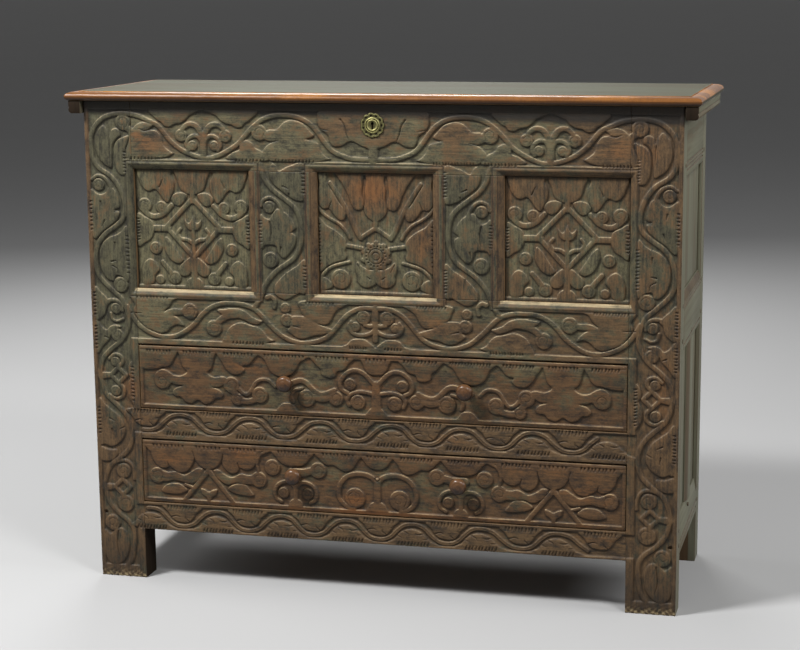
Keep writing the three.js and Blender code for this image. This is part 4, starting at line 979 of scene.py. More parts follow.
CARVED_TO_MM = 562.0
HALF_JOINT_MM = 0.15
ARRIS_MM = 0.7
KEYHOLE_Z = 903.0
KEYHOLE_RADIUS_MM = 3.2
KEYHOLE_SLOT = (-1.4, 1.4, 892.0, KEYHOLE_Z)
KEYHOLE_DEEP_MM = 13.0
WORN_FOOT_MM = 26.0
OLD_HOLE_X, OLD_HOLE_Z = 558.0, 130.0
OLD_HOLE_RADIUS_MM = 3.6
OLD_HOLE_DEEP_MM = 9.0
QUIRK_DEEP_MM = 1.8
# Where the painted shadow of the lid starts, how much lower it starts at the right, and how soft its lower
# edge is.
SHADE_FROM_MM, SHADE_LOWER_MM, SHADE_SOFT_MM = 910, 9, 11
LEAST_DEPTH_MM = 0.02

# Where the ground is cut away: the top rail, both posts, both muntins and the three lower rails.
frame_fields = (
    (-CARVED_TO_MM, CARVED_TO_MM, 831, 924), (-CARVED_TO_MM, -491, 24, 924), (491, CARVED_TO_MM, 24, 924),
    (-muntin_high_x + MOULD_ON_MUNTIN_MM, -muntin_low_x - MOULD_ON_MUNTIN_MM, 560, 835),
    (muntin_low_x + MOULD_ON_MUNTIN_MM, muntin_high_x - MOULD_ON_MUNTIN_MM, 560, 835),
    (-500, 500, 484, 563.5), (-500, 500, 296.5, 340), (-500, 500, 106, 150),
)
frame_boards = {
    "front_top_rail": (-post_in, post_in, opening_high, case_top),
    "front_middle_rail": (-post_in, post_in, 473.0, opening_low),
    "front_drawer_rail": (-post_in, post_in, 285.0, 344.0),
    "front_bottom_rail": (-post_in, post_in, 101.0, 156.0),
    "front_muntin_left": (-muntin_high_x, -muntin_low_x, opening_low, opening_high),
    "front_muntin_right": (muntin_low_x, muntin_high_x, opening_low, opening_high),
    "post_front_left": (-post_out, -post_in, 0.0, case_top),
    "post_front_right": (post_in, post_out, 0.0, case_top),
}
for node, box in frame_boards.items():
    is_post = node.startswith("post")
    upright = is_post or "muntin" in node
    xs = grid_lines(box[0] + HALF_JOINT_MM, box[1] - HALF_JOINT_MM, FRAME_GRID_MM)
    zs = grid_lines(box[2] + HALF_JOINT_MM * (box[2] > 0), box[3] - HALF_JOINT_MM, FRAME_GRID_MM)
    depth, marks = relief(vine, frame_fields, xs, zs)
    x, z = np.meshgrid(xs, zs)
    moulding = mould_depth(x, z)
    depth = np.maximum(depth, moulding)
    rim = -box_distance(x, z, box)
    depth = np.maximum(depth, ARRIS_MM * np.exp(-rim / ARRIS_MM))
    bow = np.hypot(x, z - KEYHOLE_Z) - KEYHOLE_RADIUS_MM
    keyhole = np.minimum(bow, box_distance(x, z, KEYHOLE_SLOT))
    depth = np.where(keyhole < 0.3, KEYHOLE_DEEP_MM, depth)

    # Painted shade darkens the moulding's quirk, and a painted shadow of the lid darkens the top of the
    # rail, reaching lower at the right. The slope below each panel is painted pale, as wear and as a painted
    # highlight where light catches it, and the corners of the moulding and of the posts are rubbed pale.
    slope = np.clip(moulding / 3.0, 0, 1)
    quirk = 0.75 * np.exp(-((moulding - QUIRK_DEEP_MM) / 0.3) ** 2) * (slope > 0)
    shaded_from = SHADE_FROM_MM - SHADE_LOWER_MM * np.clip((x - 50) / 350, 0, 1)
    painted_lid_shadow = (1.2 - 0.3 * marks["raised"]) * np.clip((z - shaded_from) / SHADE_SOFT_MM, 0, 1)
    marks["corner"] = np.maximum(np.maximum(marks["corner"], quirk), painted_lid_shadow)
    lit_slope = (moulding > 3.0) & (z < opening_low + 1)
    outer_arris = np.abs(x) > CARVED_TO_MM - 0.5
    marks["edge"] = np.maximum(marks["edge"], 0.62 * lit_slope) * ~outer_arris
    marks["edge"] = marks["edge"] * np.interp(z, (300, 380), (0.6, 1.0))
    if is_post:
        uneven = hand_marks(x * 2.1, z * 1.7)
        depth = depth + np.clip((WORN_FOOT_MM - z) / WORN_FOOT_MM, 0, 1) * (1.2 + 1.5 * uneven)
        in_hole = np.hypot(np.abs(x) - OLD_HOLE_X, z - OLD_HOLE_Z) < OLD_HOLE_RADIUS_MM
        depth = np.maximum(depth, OLD_HOLE_DEEP_MM * in_hole)
        marks["aged_and_shaded"] = marks["aged_and_shaded"] + 0.7 * outer_arris
        chips = np.clip(0.7 + 0.9 * uneven, 0, 1) * np.exp(-z / 14)
        marks["edge"] = np.maximum(marks["edge"], 1.1 * chips)
        dirty_foot = 0.55 * np.clip((90 - z) / 60, 0, 1) * (1 - chips)
        marks["corner"] = np.maximum(marks["corner"], dirty_foot)
    elif upright:
        marks["aged_and_shaded"] = marks["aged_and_shaded"] + 0.5 * (slope > 0.3)

    finishes = [post_front, inner_upright] if upright else [rail_front, inner_along]
    finishes += [side_paint, painted_shade_oak]
    depth = np.maximum(depth, LEAST_DEPTH_MM)
    board = carved_board(node + "_carved", box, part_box(node)[1].y / MM, depth, marks, xs, zs, finishes)
    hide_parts(node)
    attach(board, "case")


# The three panels of the front: thin oak boards held in grooves, carved before they went in.
# The outer two carry a strapwork diamond among leaves, the middle one a rosette under two long stems.
PANEL_GRID_MM = 1.15
PANEL_GROUND_MM = 3.4
PANEL_GAP_MM = 0.3
panel_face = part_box("front_panel_centre")[0].y / MM
panel_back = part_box("front_panel_centre")[1].y / MM

diamond = Carving()
diamond.stem([
    (0, 755), (0, 755), (54, 700), (54, 700), (0, 642), (0, 642), (-54, 700), (-54, 700), (0, 755),
    (0, 755),
], 9, sides=ONE)
diamond.stem([(50, 697), (80, 697)], 12, 12)
diamond.stem([(0, 766), (0, 750)], 10, sides=ONE)
diamond.leaf([
    (-33, 816), (-30, 792), (-23, 773), (-9, 764), (9, 764), (23, 773), (30, 792), (33, 816),
], sides=ONE)
diamond.leaf([(10, 762), (22, 767), (36, 764), (43, 754), (37, 744), (27, 741), (18, 748)])
diamond.leaf([
    (108, 816), (106, 788), (98, 773), (87, 768), (76, 772), (68, 766), (58, 752), (50, 747), (44, 756),
    (38, 768), (36, 786), (42, 800), (46, 816),
])
diamond.cut([(66, 776), (58, 792)], 3.0, 1.2)
diamond.boss(97, 741, 14)
diamond.boss(63, 738, 11.5)
diamond.stem([(98, 730), (86, 721), (72, 720), (58, 726), (49, 735), (42, 742)], 11, 9)
diamond.leaf([(114, 723), (97, 719), (85, 713), (80, 704), (80, 690), (87, 676), (98, 669), (114, 664)])
diamond.comb((110, 672), (110, 718), 6, (-1, 0))
diamond.boss(77, 659, 12)
diamond.leaf([
    (57, 681), (47, 675), (38, 662), (29, 648), (22, 636), (32, 630), (46, 636), (56, 650), (60, 664),
])
diamond.leaf([(6, 642), (20, 634), (31, 621), (28, 608), (16, 606), (6, 616)])
diamond.boss(40, 602, 12.5)
diamond.stem([(40, 602), (52, 618), (64, 632)], 11, 9)
diamond.boss(70, 598, 9)
diamond.leaf([(104, 588), (107, 612), (101, 630), (90, 638), (78, 632), (71, 618), (80, 606), (84, 590)])
diamond.boss(0, 586, 19, eye=False, sides=ONE)
diamond.stem([(0, 642), (0, 600)], 11, 13, sides=ONE)
# Inside the diamond stands a plain tulip with two curled leaves.
diamond.leaf([
    (-17, 716), (-15, 703), (-7, 695), (7, 695), (15, 703), (17, 716), (17, 716), (8, 709), (0, 722),
    (0, 722), (-8, 709), (-17, 716),
], sides=ONE)
diamond.stem([(0, 697), (0, 652)], 7, 9, sides=ONE)
diamond.stem([(0, 668), (12, 676), (25, 678), (32, 688), (26, 697)], 8, 6)

ROSETTE_Z = 655
rosette = Carving()
rosette.boss(0, ROSETTE_Z, 25.5, eye=False, sides=ONE)
for lobe in range(10):
    turn = math.tau * lobe / 10 + 0.3
    rosette.boss(25.0 * math.cos(turn), ROSETTE_Z + 25.0 * math.sin(turn), 5.0, eye=False, sides=ONE)
for dot in range(18):
    turn = math.tau * dot / 18
    spot = (18.6 * math.cos(turn), ROSETTE_Z + 18.6 * math.sin(turn))
    further = (spot[0] * 1.02, ROSETTE_Z + (spot[1] - ROSETTE_Z) * 1.02)
    rosette.cut([spot, further], 3.2, 3.2, sides=ONE)
for ring in (14.4, 7.4):
    turns = [math.tau * step / 24 for step in range(25)]
    round_cut = [(ring * math.cos(turn), ROSETTE_Z + ring * math.sin(turn)) for turn in turns]
    rosette.cut(round_cut, 1.8, 1.8, sides=ONE)
rosette.stem([(-29, 689), (0, 708), (0, 708), (29, 689)], 8, sides=ONE)
rosette.stem([(29, 689), (37, 702), (52, 734), (70, 766), (87, 791)], 10, 8)
rosette.stem([(0, 706), (0, 726)], 9, sides=ONE)
rosette.leaf([
    (-19, 816), (-17, 796), (-20, 780), (-19, 762), (-22, 742), (-15, 728), (0, 720), (15, 728), (22, 742),
    (19, 762), (20, 780), (17, 796), (19, 816),
], sides=ONE)
rosette.leaf([
    (25, 816), (24, 794), (26, 772), (22, 757), (25, 744), (37, 741), (45, 750), (51, 766), (61, 786),
    (72, 802), (78, 816),
])
rosette.leaf([
    (114, 816), (108, 790), (112, 772), (110, 752), (101, 742), (90, 743), (82, 733), (72, 723), (62, 722),
    (57, 732), (61, 744), (70, 754), (81, 772), (93, 793), (96, 816),
])
rosette.cut([(90, 744), (84, 758)], 3.0, 1.2)
rosette.stem([(113, 748), (102, 734), (88, 724), (70, 714), (57, 700), (50, 688)], 6, 6)
rosette.leaf([
    (114, 722), (94, 711), (76, 701), (61, 688), (56, 676), (60, 664), (57, 653), (62, 646), (77, 642),
    (93, 635), (114, 628),
])
rosette.comb((110, 634), (110, 716), 9, (-1, 0), 6.0)
rosette.stem([(26, 669), (56, 674)], 8, 8)
rosette.stem([(113, 603), (101, 621), (86, 633), (68, 639), (52, 643)], 6, 6)
rosette.boss(69, 610, 19)
rosette.leaf([(112, 612), (98, 612), (86, 602), (88, 592), (112, 588)])
rosette.leaf([
    (0, 627), (14, 630), (27, 636), (36, 644), (41, 632), (37, 618), (36, 606), (27, 597), (16, 595),
    (6, 599), (0, 606),
])
rosette.cut([(12, 612), (18, 616)], 3.0, 1.4)
rosette.cut([(36, 640), (28, 625)], 2.4, 1.2)

for node, carving, middle in (
    ("front_panel_left", diamond, -(post_in + muntin_high_x) / 2),
    ("front_panel_centre", rosette, 0.0),
    ("front_panel_right", diamond, (post_in + muntin_high_x) / 2),
):
    half = (post_in - muntin_high_x) / 2 if middle else muntin_low_x
    box = (middle - half + PANEL_GAP_MM, middle + half - PANEL_GAP_MM,
           opening_low + PANEL_GAP_MM, opening_high - PANEL_GAP_MM)
    xs = grid_lines(box[0], box[1], PANEL_GRID_MM)
    zs = grid_lines(box[2], box[3], PANEL_GRID_MM)
    fields = [(-half - 5, half + 5, 588.0, opening_high + 5)]
    depth, marks = relief(carving, fields, xs, zs, PANEL_GROUND_MM, middle)
    x, z = np.meshgrid(xs, zs)
    # Painted shade round the panel's rim, where the frame's moulding stands over it.
    near_frame = np.exp(-np.maximum(-box_distance(x, z, box), 0) / 4.0)
    marks["corner"] = np.maximum(marks["corner"], 0.8 * near_frame)
    board = carved_board(node + "_carved", box, panel_back, depth, marks, xs, zs,
                         [panel_front, inner_along], panel_face)
    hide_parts(node)
    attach(board, "case")


# The drawer fronts: one thick board each, carved between a bead along the top and a bevel below,
# and dovetailed to the sides behind.
DRAWER_GROUND_MM = 3.8
DRAWER_SETTLED_MM = 1.4
DRAWER_ARRIS_MM = 1.2
BEAD_QUIRK_MM = 1.3
CARVED_HALF_MM, CARVED_FROM_MM, CARVED_UP_TO_MM = 468.0, 10.5, 115.0
# Depths below the face, by the height over the drawer's foot: the bevel below, and the bead along the top.
BEVEL_HEIGHTS_MM, BEVEL_DEPTHS_MM = (0.0, 2.0, 8.0, 9.6, 11.0), (2.6, 2.2, 0.9, 0.1, 0.0)
BEAD_HEIGHTS_MM, BEAD_DEPTHS_MM = (118.0, 120.5, 124.0, 127.0), (0.0, 0.1, 0.5, 2.4)

# The upper drawer: a large flower on each side, with scrolls and hanging leaves round it.
flowers = Carving()
for middle in (-357, 357):
    outward = 1 if middle > 0 else -1
    flowers.leaf([
        (0, 466), (36, 466), (34, 446), (29, 430), (21, 421), (34, 413), (48, 414), (60, 421), (73, 424),
        (86, 415), (88, 398), (78, 386), (62, 388), (54, 397), (44, 394), (30, 393), (30, 393), (45, 388),
        (52, 379), (47, 372), (36, 371), (27, 362), (13, 359), (0, 366), (-13, 359), (-27, 362), (-36, 371),
        (-47, 372), (-52, 379), (-45, 388), (-30, 393), (-30, 393), (-44, 394), (-54, 400), (-60, 412),
        (-50, 415), (-34, 413), (-21, 421), (-29, 430), (-34, 446), (-36, 466),
    ], middle, (outward,))
    flowers.comb((-30, 459), (30, 459), 8, (0, -1), 6.5, middle, sides=ONE)
flowers.boss(-430, 400, 15)
flowers.boss(-288, 399, 16)
flowers.leaf([
    (-480, 466), (-472, 427), (-454, 423), (-438, 425), (-428, 428), (-414, 431), (-405, 444), (-401, 466),
])
flowers.leaf([
    (-313, 466), (-305, 441), (-297, 428), (-285, 420), (-270, 421), (-261, 429), (-264, 437), (-252, 440),
    (-243, 450), (-236, 466),
])
flowers.leaf([
    (-229, 466), (-219, 449), (-212, 434), (-203, 424), (-185, 419), (-168, 424), (-158, 434), (-150, 448),
    (-138, 456), (-131, 466),
])
flowers.leaf([
    (-126, 466), (-119, 447), (-108, 437), (-106, 427), (-95, 422), (-82, 423), (-76, 434), (-63, 438),
    (-54, 449), (-45, 466),
])
flowers.leaf([
    (-27, 466), (-24, 448), (-18, 436), (-8, 431), (8, 431), (18, 436), (24, 448), (27, 466),
], sides=ONE)
for start, end, nicks in ((-462, -408, 7), (-304, -242, 8), (-222, -140, 10), (-120, -52, 8), (-22, 22, 5)):
    flowers.comb((start, 459), (end, 459), nicks, (0, -1), 6.5, sides=BOTH if end < 0 else ONE)
flowers.boss(-276, 371, 12)
flowers.stem([(-288, 392), (-272, 372), (-256, 368), (-240, 372)], 13, 12)
flowers.boss(-231, 382, 16)
flowers.stem([
    (-282, 404), (-268, 386), (-256, 382), (-247, 392), (-239, 405), (-228, 412), (-212, 411), (-200, 400),
], 8, 7)
flowers.stem([
    (-183, 402), (-165, 409), (-150, 414), (-137, 410), (-125, 398), (-112, 390), (-98, 391), (-82, 398),
], 11, 10)
flowers.boss(-137, 380, 17)
flowers.stem([(-165, 372), (-168, 384), (-160, 395), (-146, 399)], 7, 6)
flowers.boss(-79, 382, 14.5)
flowers.stem([(-120, 383), (-104, 380), (-90, 384)], 14, 12)
flowers.boss(-36, 377, 14.5)
flowers.stem([(0, 392), (-16, 396), (-33, 397), (-49, 392), (-57, 381), (-53, 370)], 8, 7)
flowers.stem([
    (0, 410), (-11, 420), (-21, 431), (-36, 438), (-51, 436), (-64, 426), (-71, 412), (-67, 400),
    (-56, 394),
], 9, 8)
flowers.boss(-51, 411, 11.5)
flowers.stem([(0, 350), (0, 384), (0, 412)], 22, 15, sides=ONE)
flowers.leaf([(-20, 350), (-16, 361), (-8, 368), (8, 368), (16, 361), (20, 350)], sides=ONE)
flowers.leaf([(-196, 350), (-192, 362), (-182, 369), (-168, 368), (-160, 360), (-156, 350)])

# The lower drawer: a small bud on each side between two curled leaves, and scrolls in the middle.
scrolls = Carving()
for middle in (-340, 340):
    outward = 1 if middle > 0 else -1
    scrolls.stem([(0, 226), (20, 202), (54, 160)], 10, 9, middle)
    scrolls.leaf([
        (-17, 189), (-8, 188), (0, 184), (8, 188), (17, 189), (14, 178), (6, 172), (0, 158), (-6, 172),
        (-14, 178),
    ], middle, sides=ONE)
    scrolls.leaf([
        (-36, 276), (-31, 262), (-27, 248), (-18, 235), (-6, 229), (6, 229), (18, 235), (27, 248),
        (31, 262), (36, 276),
    ], middle, sides=ONE)
    scrolls.comb((-28, 271), (28, 271), 6, (0, -1), 6.5, middle, sides=ONE)
scrolls.leaf([
    (-466, 276), (-459, 256), (-453, 240), (-443, 229), (-430, 226), (-421, 230), (-412, 225), (-401, 219),
    (-386, 221), (-375, 233), (-369, 248), (-372, 262), (-382, 276),
])
scrolls.comb((-456, 271), (-388, 271), 8, (0, -1), 6.5)
scrolls.cut([(-421, 228), (-424, 240)], 3.4, 1.4)
scrolls.boss(-446, 211, 16)
scrolls.leaf([
    (-438, 222), (-424, 219), (-408, 221), (-390, 215), (-375, 223), (-363, 230), (-351, 228), (-352, 216),
    (-362, 206), (-374, 198), (-392, 200), (-412, 203), (-430, 199), (-442, 206),
])
scrolls.leaf([
    (-437, 178), (-433, 189), (-421, 196), (-402, 197), (-390, 191), (-385, 183), (-397, 177), (-412, 175),
])
scrolls.stem([(-388, 195), (-372, 190)], 7, 6)
scrolls.leaf([
    (-302, 276), (-309, 257), (-311, 242), (-305, 230), (-293, 223), (-281, 226), (-275, 235), (-265, 232),
    (-252, 234), (-243, 244), (-238, 258), (-233, 276),
])
scrolls.comb((-298, 271), (-240, 271), 7, (0, -1), 6.5)
scrolls.cut([(-276, 234), (-280, 246)], 3.4, 1.4)
scrolls.boss(-237, 214, 16)
scrolls.leaf([
    (-330, 227), (-318, 229), (-308, 222), (-292, 216), (-274, 224), (-259, 222), (-246, 222), (-242, 206),
    (-262, 203), (-282, 205), (-300, 200), (-312, 204), (-323, 213),
])
scrolls.leaf([
    (-301, 191), (-292, 200), (-278, 204), (-264, 202), (-255, 192), (-248, 181), (-266, 180), (-286, 183),
])
scrolls.stem([(-238, 232), (-240, 248), (-233, 264), (-218, 272)], 6, 6)
scrolls.boss(-209, 240, 16)
scrolls.leaf([
    (-206, 276), (-201, 260), (-190, 249), (-175, 244), (-160, 244), (-146, 248), (-137, 257), (-129, 276),
])
scrolls.comb((-200, 271), (-136, 271), 8, (0, -1), 6.5)
scrolls.stem([(-170, 233), (-148, 233), (-136, 236), (-122, 240)], 17, 14)
scrolls.boss(-117, 239, 16)
for middle in (-163, 163):
    scrolls.stem([(0, 202), (10, 212), (23, 213), (36, 206), (42, 193), (39, 180), (29, 173)], 8, 7, middle)
    scrolls.boss(24, 191, 11, middle)
    scrolls.boss(0, 166, 15, middle, eye=False, sides=ONE)
    scrolls.stem([(0, 176), (0, 208)], 9, 8, middle, sides=ONE)
scrolls.leaf([
    (-119, 276), (-111, 258), (-100, 251), (-86, 251), (-74, 244), (-60, 240), (-48, 246), (-41, 258),
    (-35, 276),
])
scrolls.comb((-110, 271), (-44, 271), 8, (0, -1), 6.5)
scrolls.leaf([(-29, 276), (-24, 260), (-14, 250), (0, 247), (14, 250), (24, 260), (29, 276)], sides=ONE)
scrolls.comb((-22, 271), (22, 271), 5, (0, -1), 4.0, sides=ONE)
scrolls.stem([
    (0, 219), (10, 231), (27, 237), (46, 236), (62, 229), (73, 215), (77, 198), (73, 183), (61, 172),
    (46, 169),
], 10, 9)
scrolls.boss(44, 189, 20)
scrolls.stem([(0, 224), (0, 196), (0, 165)], 13, 15, sides=ONE)
scrolls.leaf([(-21, 160), (-18, 174), (-9, 183), (9, 183), (18, 174), (21, 160)], sides=ONE)
scrolls.cut([(-5, 229), (0, 224), (5, 229), (0, 234), (-5, 229)], 2.4, 2.4, sides=ONE)

for drawer, carving, low in (("upper_drawer", flowers, 344.0), ("lower_drawer", scrolls, 156.0)):
    node = drawer + "_front"
    low_corner, high_corner = (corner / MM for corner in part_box(node))
    box = (low_corner.x, high_corner.x, low_corner.z, high_corner.z - DRAWER_SETTLED_MM)
    xs = grid_lines(box[0], box[1], FRAME_GRID_MM)
    zs = grid_lines(box[2], box[3], FRAME_GRID_MM)
    fields = [(-CARVED_HALF_MM, CARVED_HALF_MM, low + CARVED_FROM_MM, low + CARVED_UP_TO_MM)]
    depth, marks = relief(carving, fields, xs, zs, DRAWER_GROUND_MM)
    x, z = np.meshgrid(xs, zs)
    up = z - low
    depth = np.maximum(depth, BEAD_QUIRK_MM * np.exp(-(((up - BEAD_HEIGHTS_MM[0]) / 0.9) ** 2)))
    below = np.interp(up, BEVEL_HEIGHTS_MM, BEVEL_DEPTHS_MM) * (up < BEVEL_HEIGHTS_MM[-1])
    above = np.interp(up, BEAD_HEIGHTS_MM, BEAD_DEPTHS_MM) * (up > BEAD_HEIGHTS_MM[0])
    depth = np.maximum(np.maximum(depth, below), above)
    rim = -box_distance(x, z, box)
    depth = np.maximum(depth, DRAWER_ARRIS_MM * np.exp(-rim))
    marks["edge"] = np.maximum(marks["edge"], 0.5 * np.exp(-rim / 1.5))
    board = carved_board(node + "_carved", box, high_corner.y, depth, marks, xs, zs,
                         [drawer_paint, inner_along], low_corner.y)
    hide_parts(node)
    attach(board, drawer)


# The sides, the back and the rear posts: plain oak frames with thin panels, painted on the sides only.
# Every board keeps the joiner's size and gets the softened edges of long use.
EASED_EDGE_MM = 0.9
FLAT_BELOW = math.radians(1.0)
SMOOTH_BELOW = math.radians(30)
SHARP_ABOVE = math.radians(35)
body_of = {}
for body, carrier in frame["bodies"].items():
    for node, solid in frame["nodes"].items():
        if solid.parent == carrier:
            body_of[node] = body


def eased(node, materials, ease=EASED_EDGE_MM, bare=(), indoors_to=None):
    """A board of the frame with its sharp edges worn round. Faces toward a bare way get the second
    finish, and the worn edges the third. With indoors_to, its front is bare too, as far as that
    distance from the middle."""
    shape = bmesh.new()
    shape.from_mesh(frame["nodes"][node].data)
    bmesh.ops.remove_doubles(shape, verts=shape.verts, dist=1e-6)
    bmesh.ops.dissolve_limit(shape, angle_limit=FLAT_BELOW, verts=shape.verts, edges=shape.edges)
    folded = [edge for edge in shape.edges if len(edge.link_faces) == 2]
    sharp = [edge for edge in folded if edge.calc_face_angle(0.0) > SHARP_ABOVE]
    bmesh.ops.bevel(
        shape, geom=sharp, offset=ease * MM, segments=2, profile=0.5, affect="EDGES", clamp_overlap=True,
    )
    bmesh.ops.remove_doubles(shape, verts=shape.verts, dist=1e-6)
    if indoors_to:
        everything = shape.verts[:] + shape.edges[:] + shape.faces[:]
        bmesh.ops.bisect_plane(shape, geom=everything, plane_co=(indoors_to * MM, 0, 0), plane_no=(1, 0, 0))
    bmesh.ops.triangulate(shape, faces=[face for face in shape.faces if len(face.verts) > 4])
    mesh = bpy.data.meshes.new(node + "_board")
    shape.to_mesh(mesh)
    shape.free()
    for material in materials:
        mesh.materials.append(material)
    for face in mesh.polygons:
        if any(face.normal.dot(Vector(way)) > 0.7 for way in bare):
            face.material_index = 1
        elif indoors_to and face.normal.y < -0.7 and abs(face.center.x) < abs(indoors_to * MM):
            face.material_index = 1
        elif len(materials) > 2 and max(abs(part) for part in face.normal) < 0.95:
            face.material_index = 2
    mesh.shade_smooth()
    mesh.set_sharp_from_angle(angle=SMOOTH_BELOW)
    made = bpy.data.objects.new(node + "_board", mesh)
    bpy.context.scene.collection.objects.link(made)
    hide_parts(node)
    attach(made, body_of[node])
    return made


worn_edge = plain_oak("worn_edge", srgb(98, 84, 63), srgb(72, 60, 44), srgb(54, 43, 32), "z", 0.55)
BACK_OAK = (srgb(108, 86, 62), srgb(82, 64, 46), srgb(58, 45, 33))
back_oak = plain_oak("back_oak", *BACK_OAK, "x", 0.75, 0.25)
inner_deep = plain_oak("inner_oak_deep", *INNER_OAK, "y", 0.72, 0.25)
back_oak_upright = plain_oak("back_oak_upright", *BACK_OAK, "z", 0.75, 0.25)
BARE_TO_MM = 556.0
BACKWARD = (0.0, 1.0, 0.0)
DOWNWARD = (0.0, 0.0, -1.0)

for side, way in (("left", -1), ("right", 1)):
    inward = ((-way, 0.0, 0.0),)
    for rail in ("top", "middle", "bottom"):
        eased(f"side_{rail}_rail_{side}", [side_paint_level, inner_deep, worn_edge], bare=inward)
    eased(f"side_muntin_{side}", [side_paint, inner_upright, worn_edge], bare=inward)
    for panel in ("upper", "lower_front", "lower_rear"):
        eased(f"side_panel_{panel}_{side}", [side_paint, inner_upright], 0.6, inward)
    eased(f"post_rear_{side}", [side_paint, back_oak_upright, worn_edge],
          bare=inward + (BACKWARD, DOWNWARD), indoors_to=way * BARE_TO_MM)
for board in ("top_rail", "middle_rail", "bottom_rail", "panel_upper", "panel_lower"):
    eased(f"back_{board}", [back_oak])


# The inside: the floor of the chest in its grooves, and the frames that the drawers run on.
# All are plain oak, left without paint.
for board in ("chest_floor", "upper_drawer_runner_frame", "lower_drawer_runner_frame"):
    eased(board, [inner_along])


# The drawers' boxes: sides dovetailed to the front, a back and a bottom.
# All are plain oak, left without paint, and worn round at their edges.
for drawer in ("upper_drawer", "lower_drawer"):
    for board, oak in (
        ("side_left", inner_deep), ("side_right", inner_deep), ("back", inner_along), ("bottom", inner_along),
    ):
        eased(f"{drawer}_{board}", [oak])


# The knobs: turned from a dark hard wood, paler on top as wear where fingers pull and as a painted
# highlight. Each is one turning with its shank, which goes through the drawer's front.
KNOB_TURNS = 48
KNOB_GRIP_MM = 10
KNOB_HALF_MM = 14.0
SHRUNK = 0.018
# The turner's outline: how far from the middle, and how far out from the drawer.
KNOB_PROFILE = (
    (5.0, -4.6), (5.0, 0.2), (8.4, 0.4), (9.4, 1.6), (8.6, 2.8), (6.6, 3.9), (5.8, 6.0), (6.4, 8.4),
    (9.2, 10.6), (13.2, 13.0), (15.6, 15.8), (16.2, 18.4), (15.7, 20.6), (14.7, 21.5), (14.3, 22.6),
    (13.2, 24.1), (11.0, 25.5), (8.8, 26.2), (8.2, 26.1), (7.2, 26.9), (4.6, 27.5), (2.0, 27.8),
)

turned = Finish("turned_wood")
rings = turned.noise(turned.stretched(60.0, 900.0, 60.0), 1.0, 2.0)
rub = turned.noise(turned.place, 140.0, 4.0, 0.65)
# Paler on top: wear, and a painted highlight where the light falls from above.
knob_top = (rub * 1.1 + turned.own("handled") * 0.75 - 0.62).between(0.0, 0.55)
knob_colour = turned.mixed(knob_top, srgb(42, 28, 19), srgb(98, 67, 41))
knob_bump = turned.bump(rings * 0.6 + rub * 0.4, 0.2, 0.0005)
turned_wood = turned.done(knob_colour, 0.4 - knob_top * 0.1, knob_bump, Specular_IOR_Level=0.4)

for drawer in ("upper_drawer", "lower_drawer"):
    for side in ("left", "right"):
        node = f"{drawer}_knob_{side}"
        low_corner, high_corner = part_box(node)
        middle = (low_corner + high_corner) / 2 / MM
        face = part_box(drawer + "_front")[0].y / MM
        points = []
        for radius, out in KNOB_PROFILE:
            for turn in range(KNOB_TURNS):
                angle = math.tau * turn / KNOB_TURNS
                shrunk = SHRUNK * max(0.0, math.sin(2 * angle + middle.x)) * (radius > KNOB_GRIP_MM)
                away = radius * (1.0 - shrunk)
                sideways, up = away * math.cos(angle), away * math.sin(angle)
                points.append((middle.x + sideways, face - out, middle.z + up))
        points.append((middle.x, face - KNOB_PROFILE[0][1], middle.z))
        points.append((middle.x, face - KNOB_PROFILE[-1][1] - 0.1, middle.z))
        faces = []
        last = (len(KNOB_PROFILE) - 1) * KNOB_TURNS
        for turn in range(KNOB_TURNS):
            after = (turn + 1) % KNOB_TURNS
            for ring in range(0, last, KNOB_TURNS):
                faces.append((ring + turn, ring + after, ring + KNOB_TURNS + after, ring + KNOB_TURNS + turn))
            faces.append((after, turn, len(points) - 2))
            faces.append((last + turn, last + after, len(points) - 1))
        points = np.array(points)
        knob = new_piece(node + "_turned", (points * MM).tolist(), faces, [turned_wood])
        knob.data.shade_smooth()
        face_out(knob)
        # The top half is kept as handled: wear, and a painted highlight.
        on_top = np.clip((points[:, 2] - middle.z) / KNOB_HALF_MM * 0.5 + 0.5, 0.0, 1.0)
        keep(knob.data, "handled", on_top * (face - points[:, 1] > KNOB_GRIP_MM))
        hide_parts(node)
        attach(knob, drawer)


# The lid: one wide board painted grey-green, with a thumb moulding round three sides that hands
# have rubbed to bare orange-brown oak, and a cleat nailed under each end.
LID_GRID_MM = 6.0
LID_WORN_MM = 3.0
NOSING_MM = 21.0
NOSING_STEPS_MM = (0.0, 0.5, 1.2, 2.2, 3.4, 5.0, 7.0, 9.5, 12.5, 15.5, 18.5, 20.2, 20.9, 21.6, 23.5)
NOSING_DROPS_MM = (8.6, 6.6, 5.3, 4.2, 3.3, 2.5, 1.8, 1.3, 1.0, 0.9, 0.95, 1.1, 1.0, 0.0, 0.0)
REAR_STEPS_MM = (0.0, 0.6, 1.4, 3.0)
# The moulding's underside: how far in from the edge, and how high over the board's foot.
UNDER_MM = ((0.0, 8.2), (0.3, 6.0), (1.4, 3.2), (3.4, 1.1), (6.0, 0.0))
# Drying splits: where each lies across and along the lid, and how far it runs either way.
SPLITS_MM = ((92.0, -470.0, 260.0), (-88.0, 455.0, 210.0), (150.0, 520.0, 130.0))

lid_low, lid_high = (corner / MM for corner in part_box("lid_board"))
lid_high.z -= LID_WORN_MM


def lid_lines(low, high, far_steps=NOSING_STEPS_MM):
    """Grid lines that crowd together over the moulding, and the far edge's own steps where it has none."""
    near = low + np.array(NOSING_STEPS_MM)
    far = high - np.array(far_steps)[::-1]
    middle = grid_lines(near[-1], far[0], LID_GRID_MM)[1:-1]
    return np.concatenate([near, middle, far])


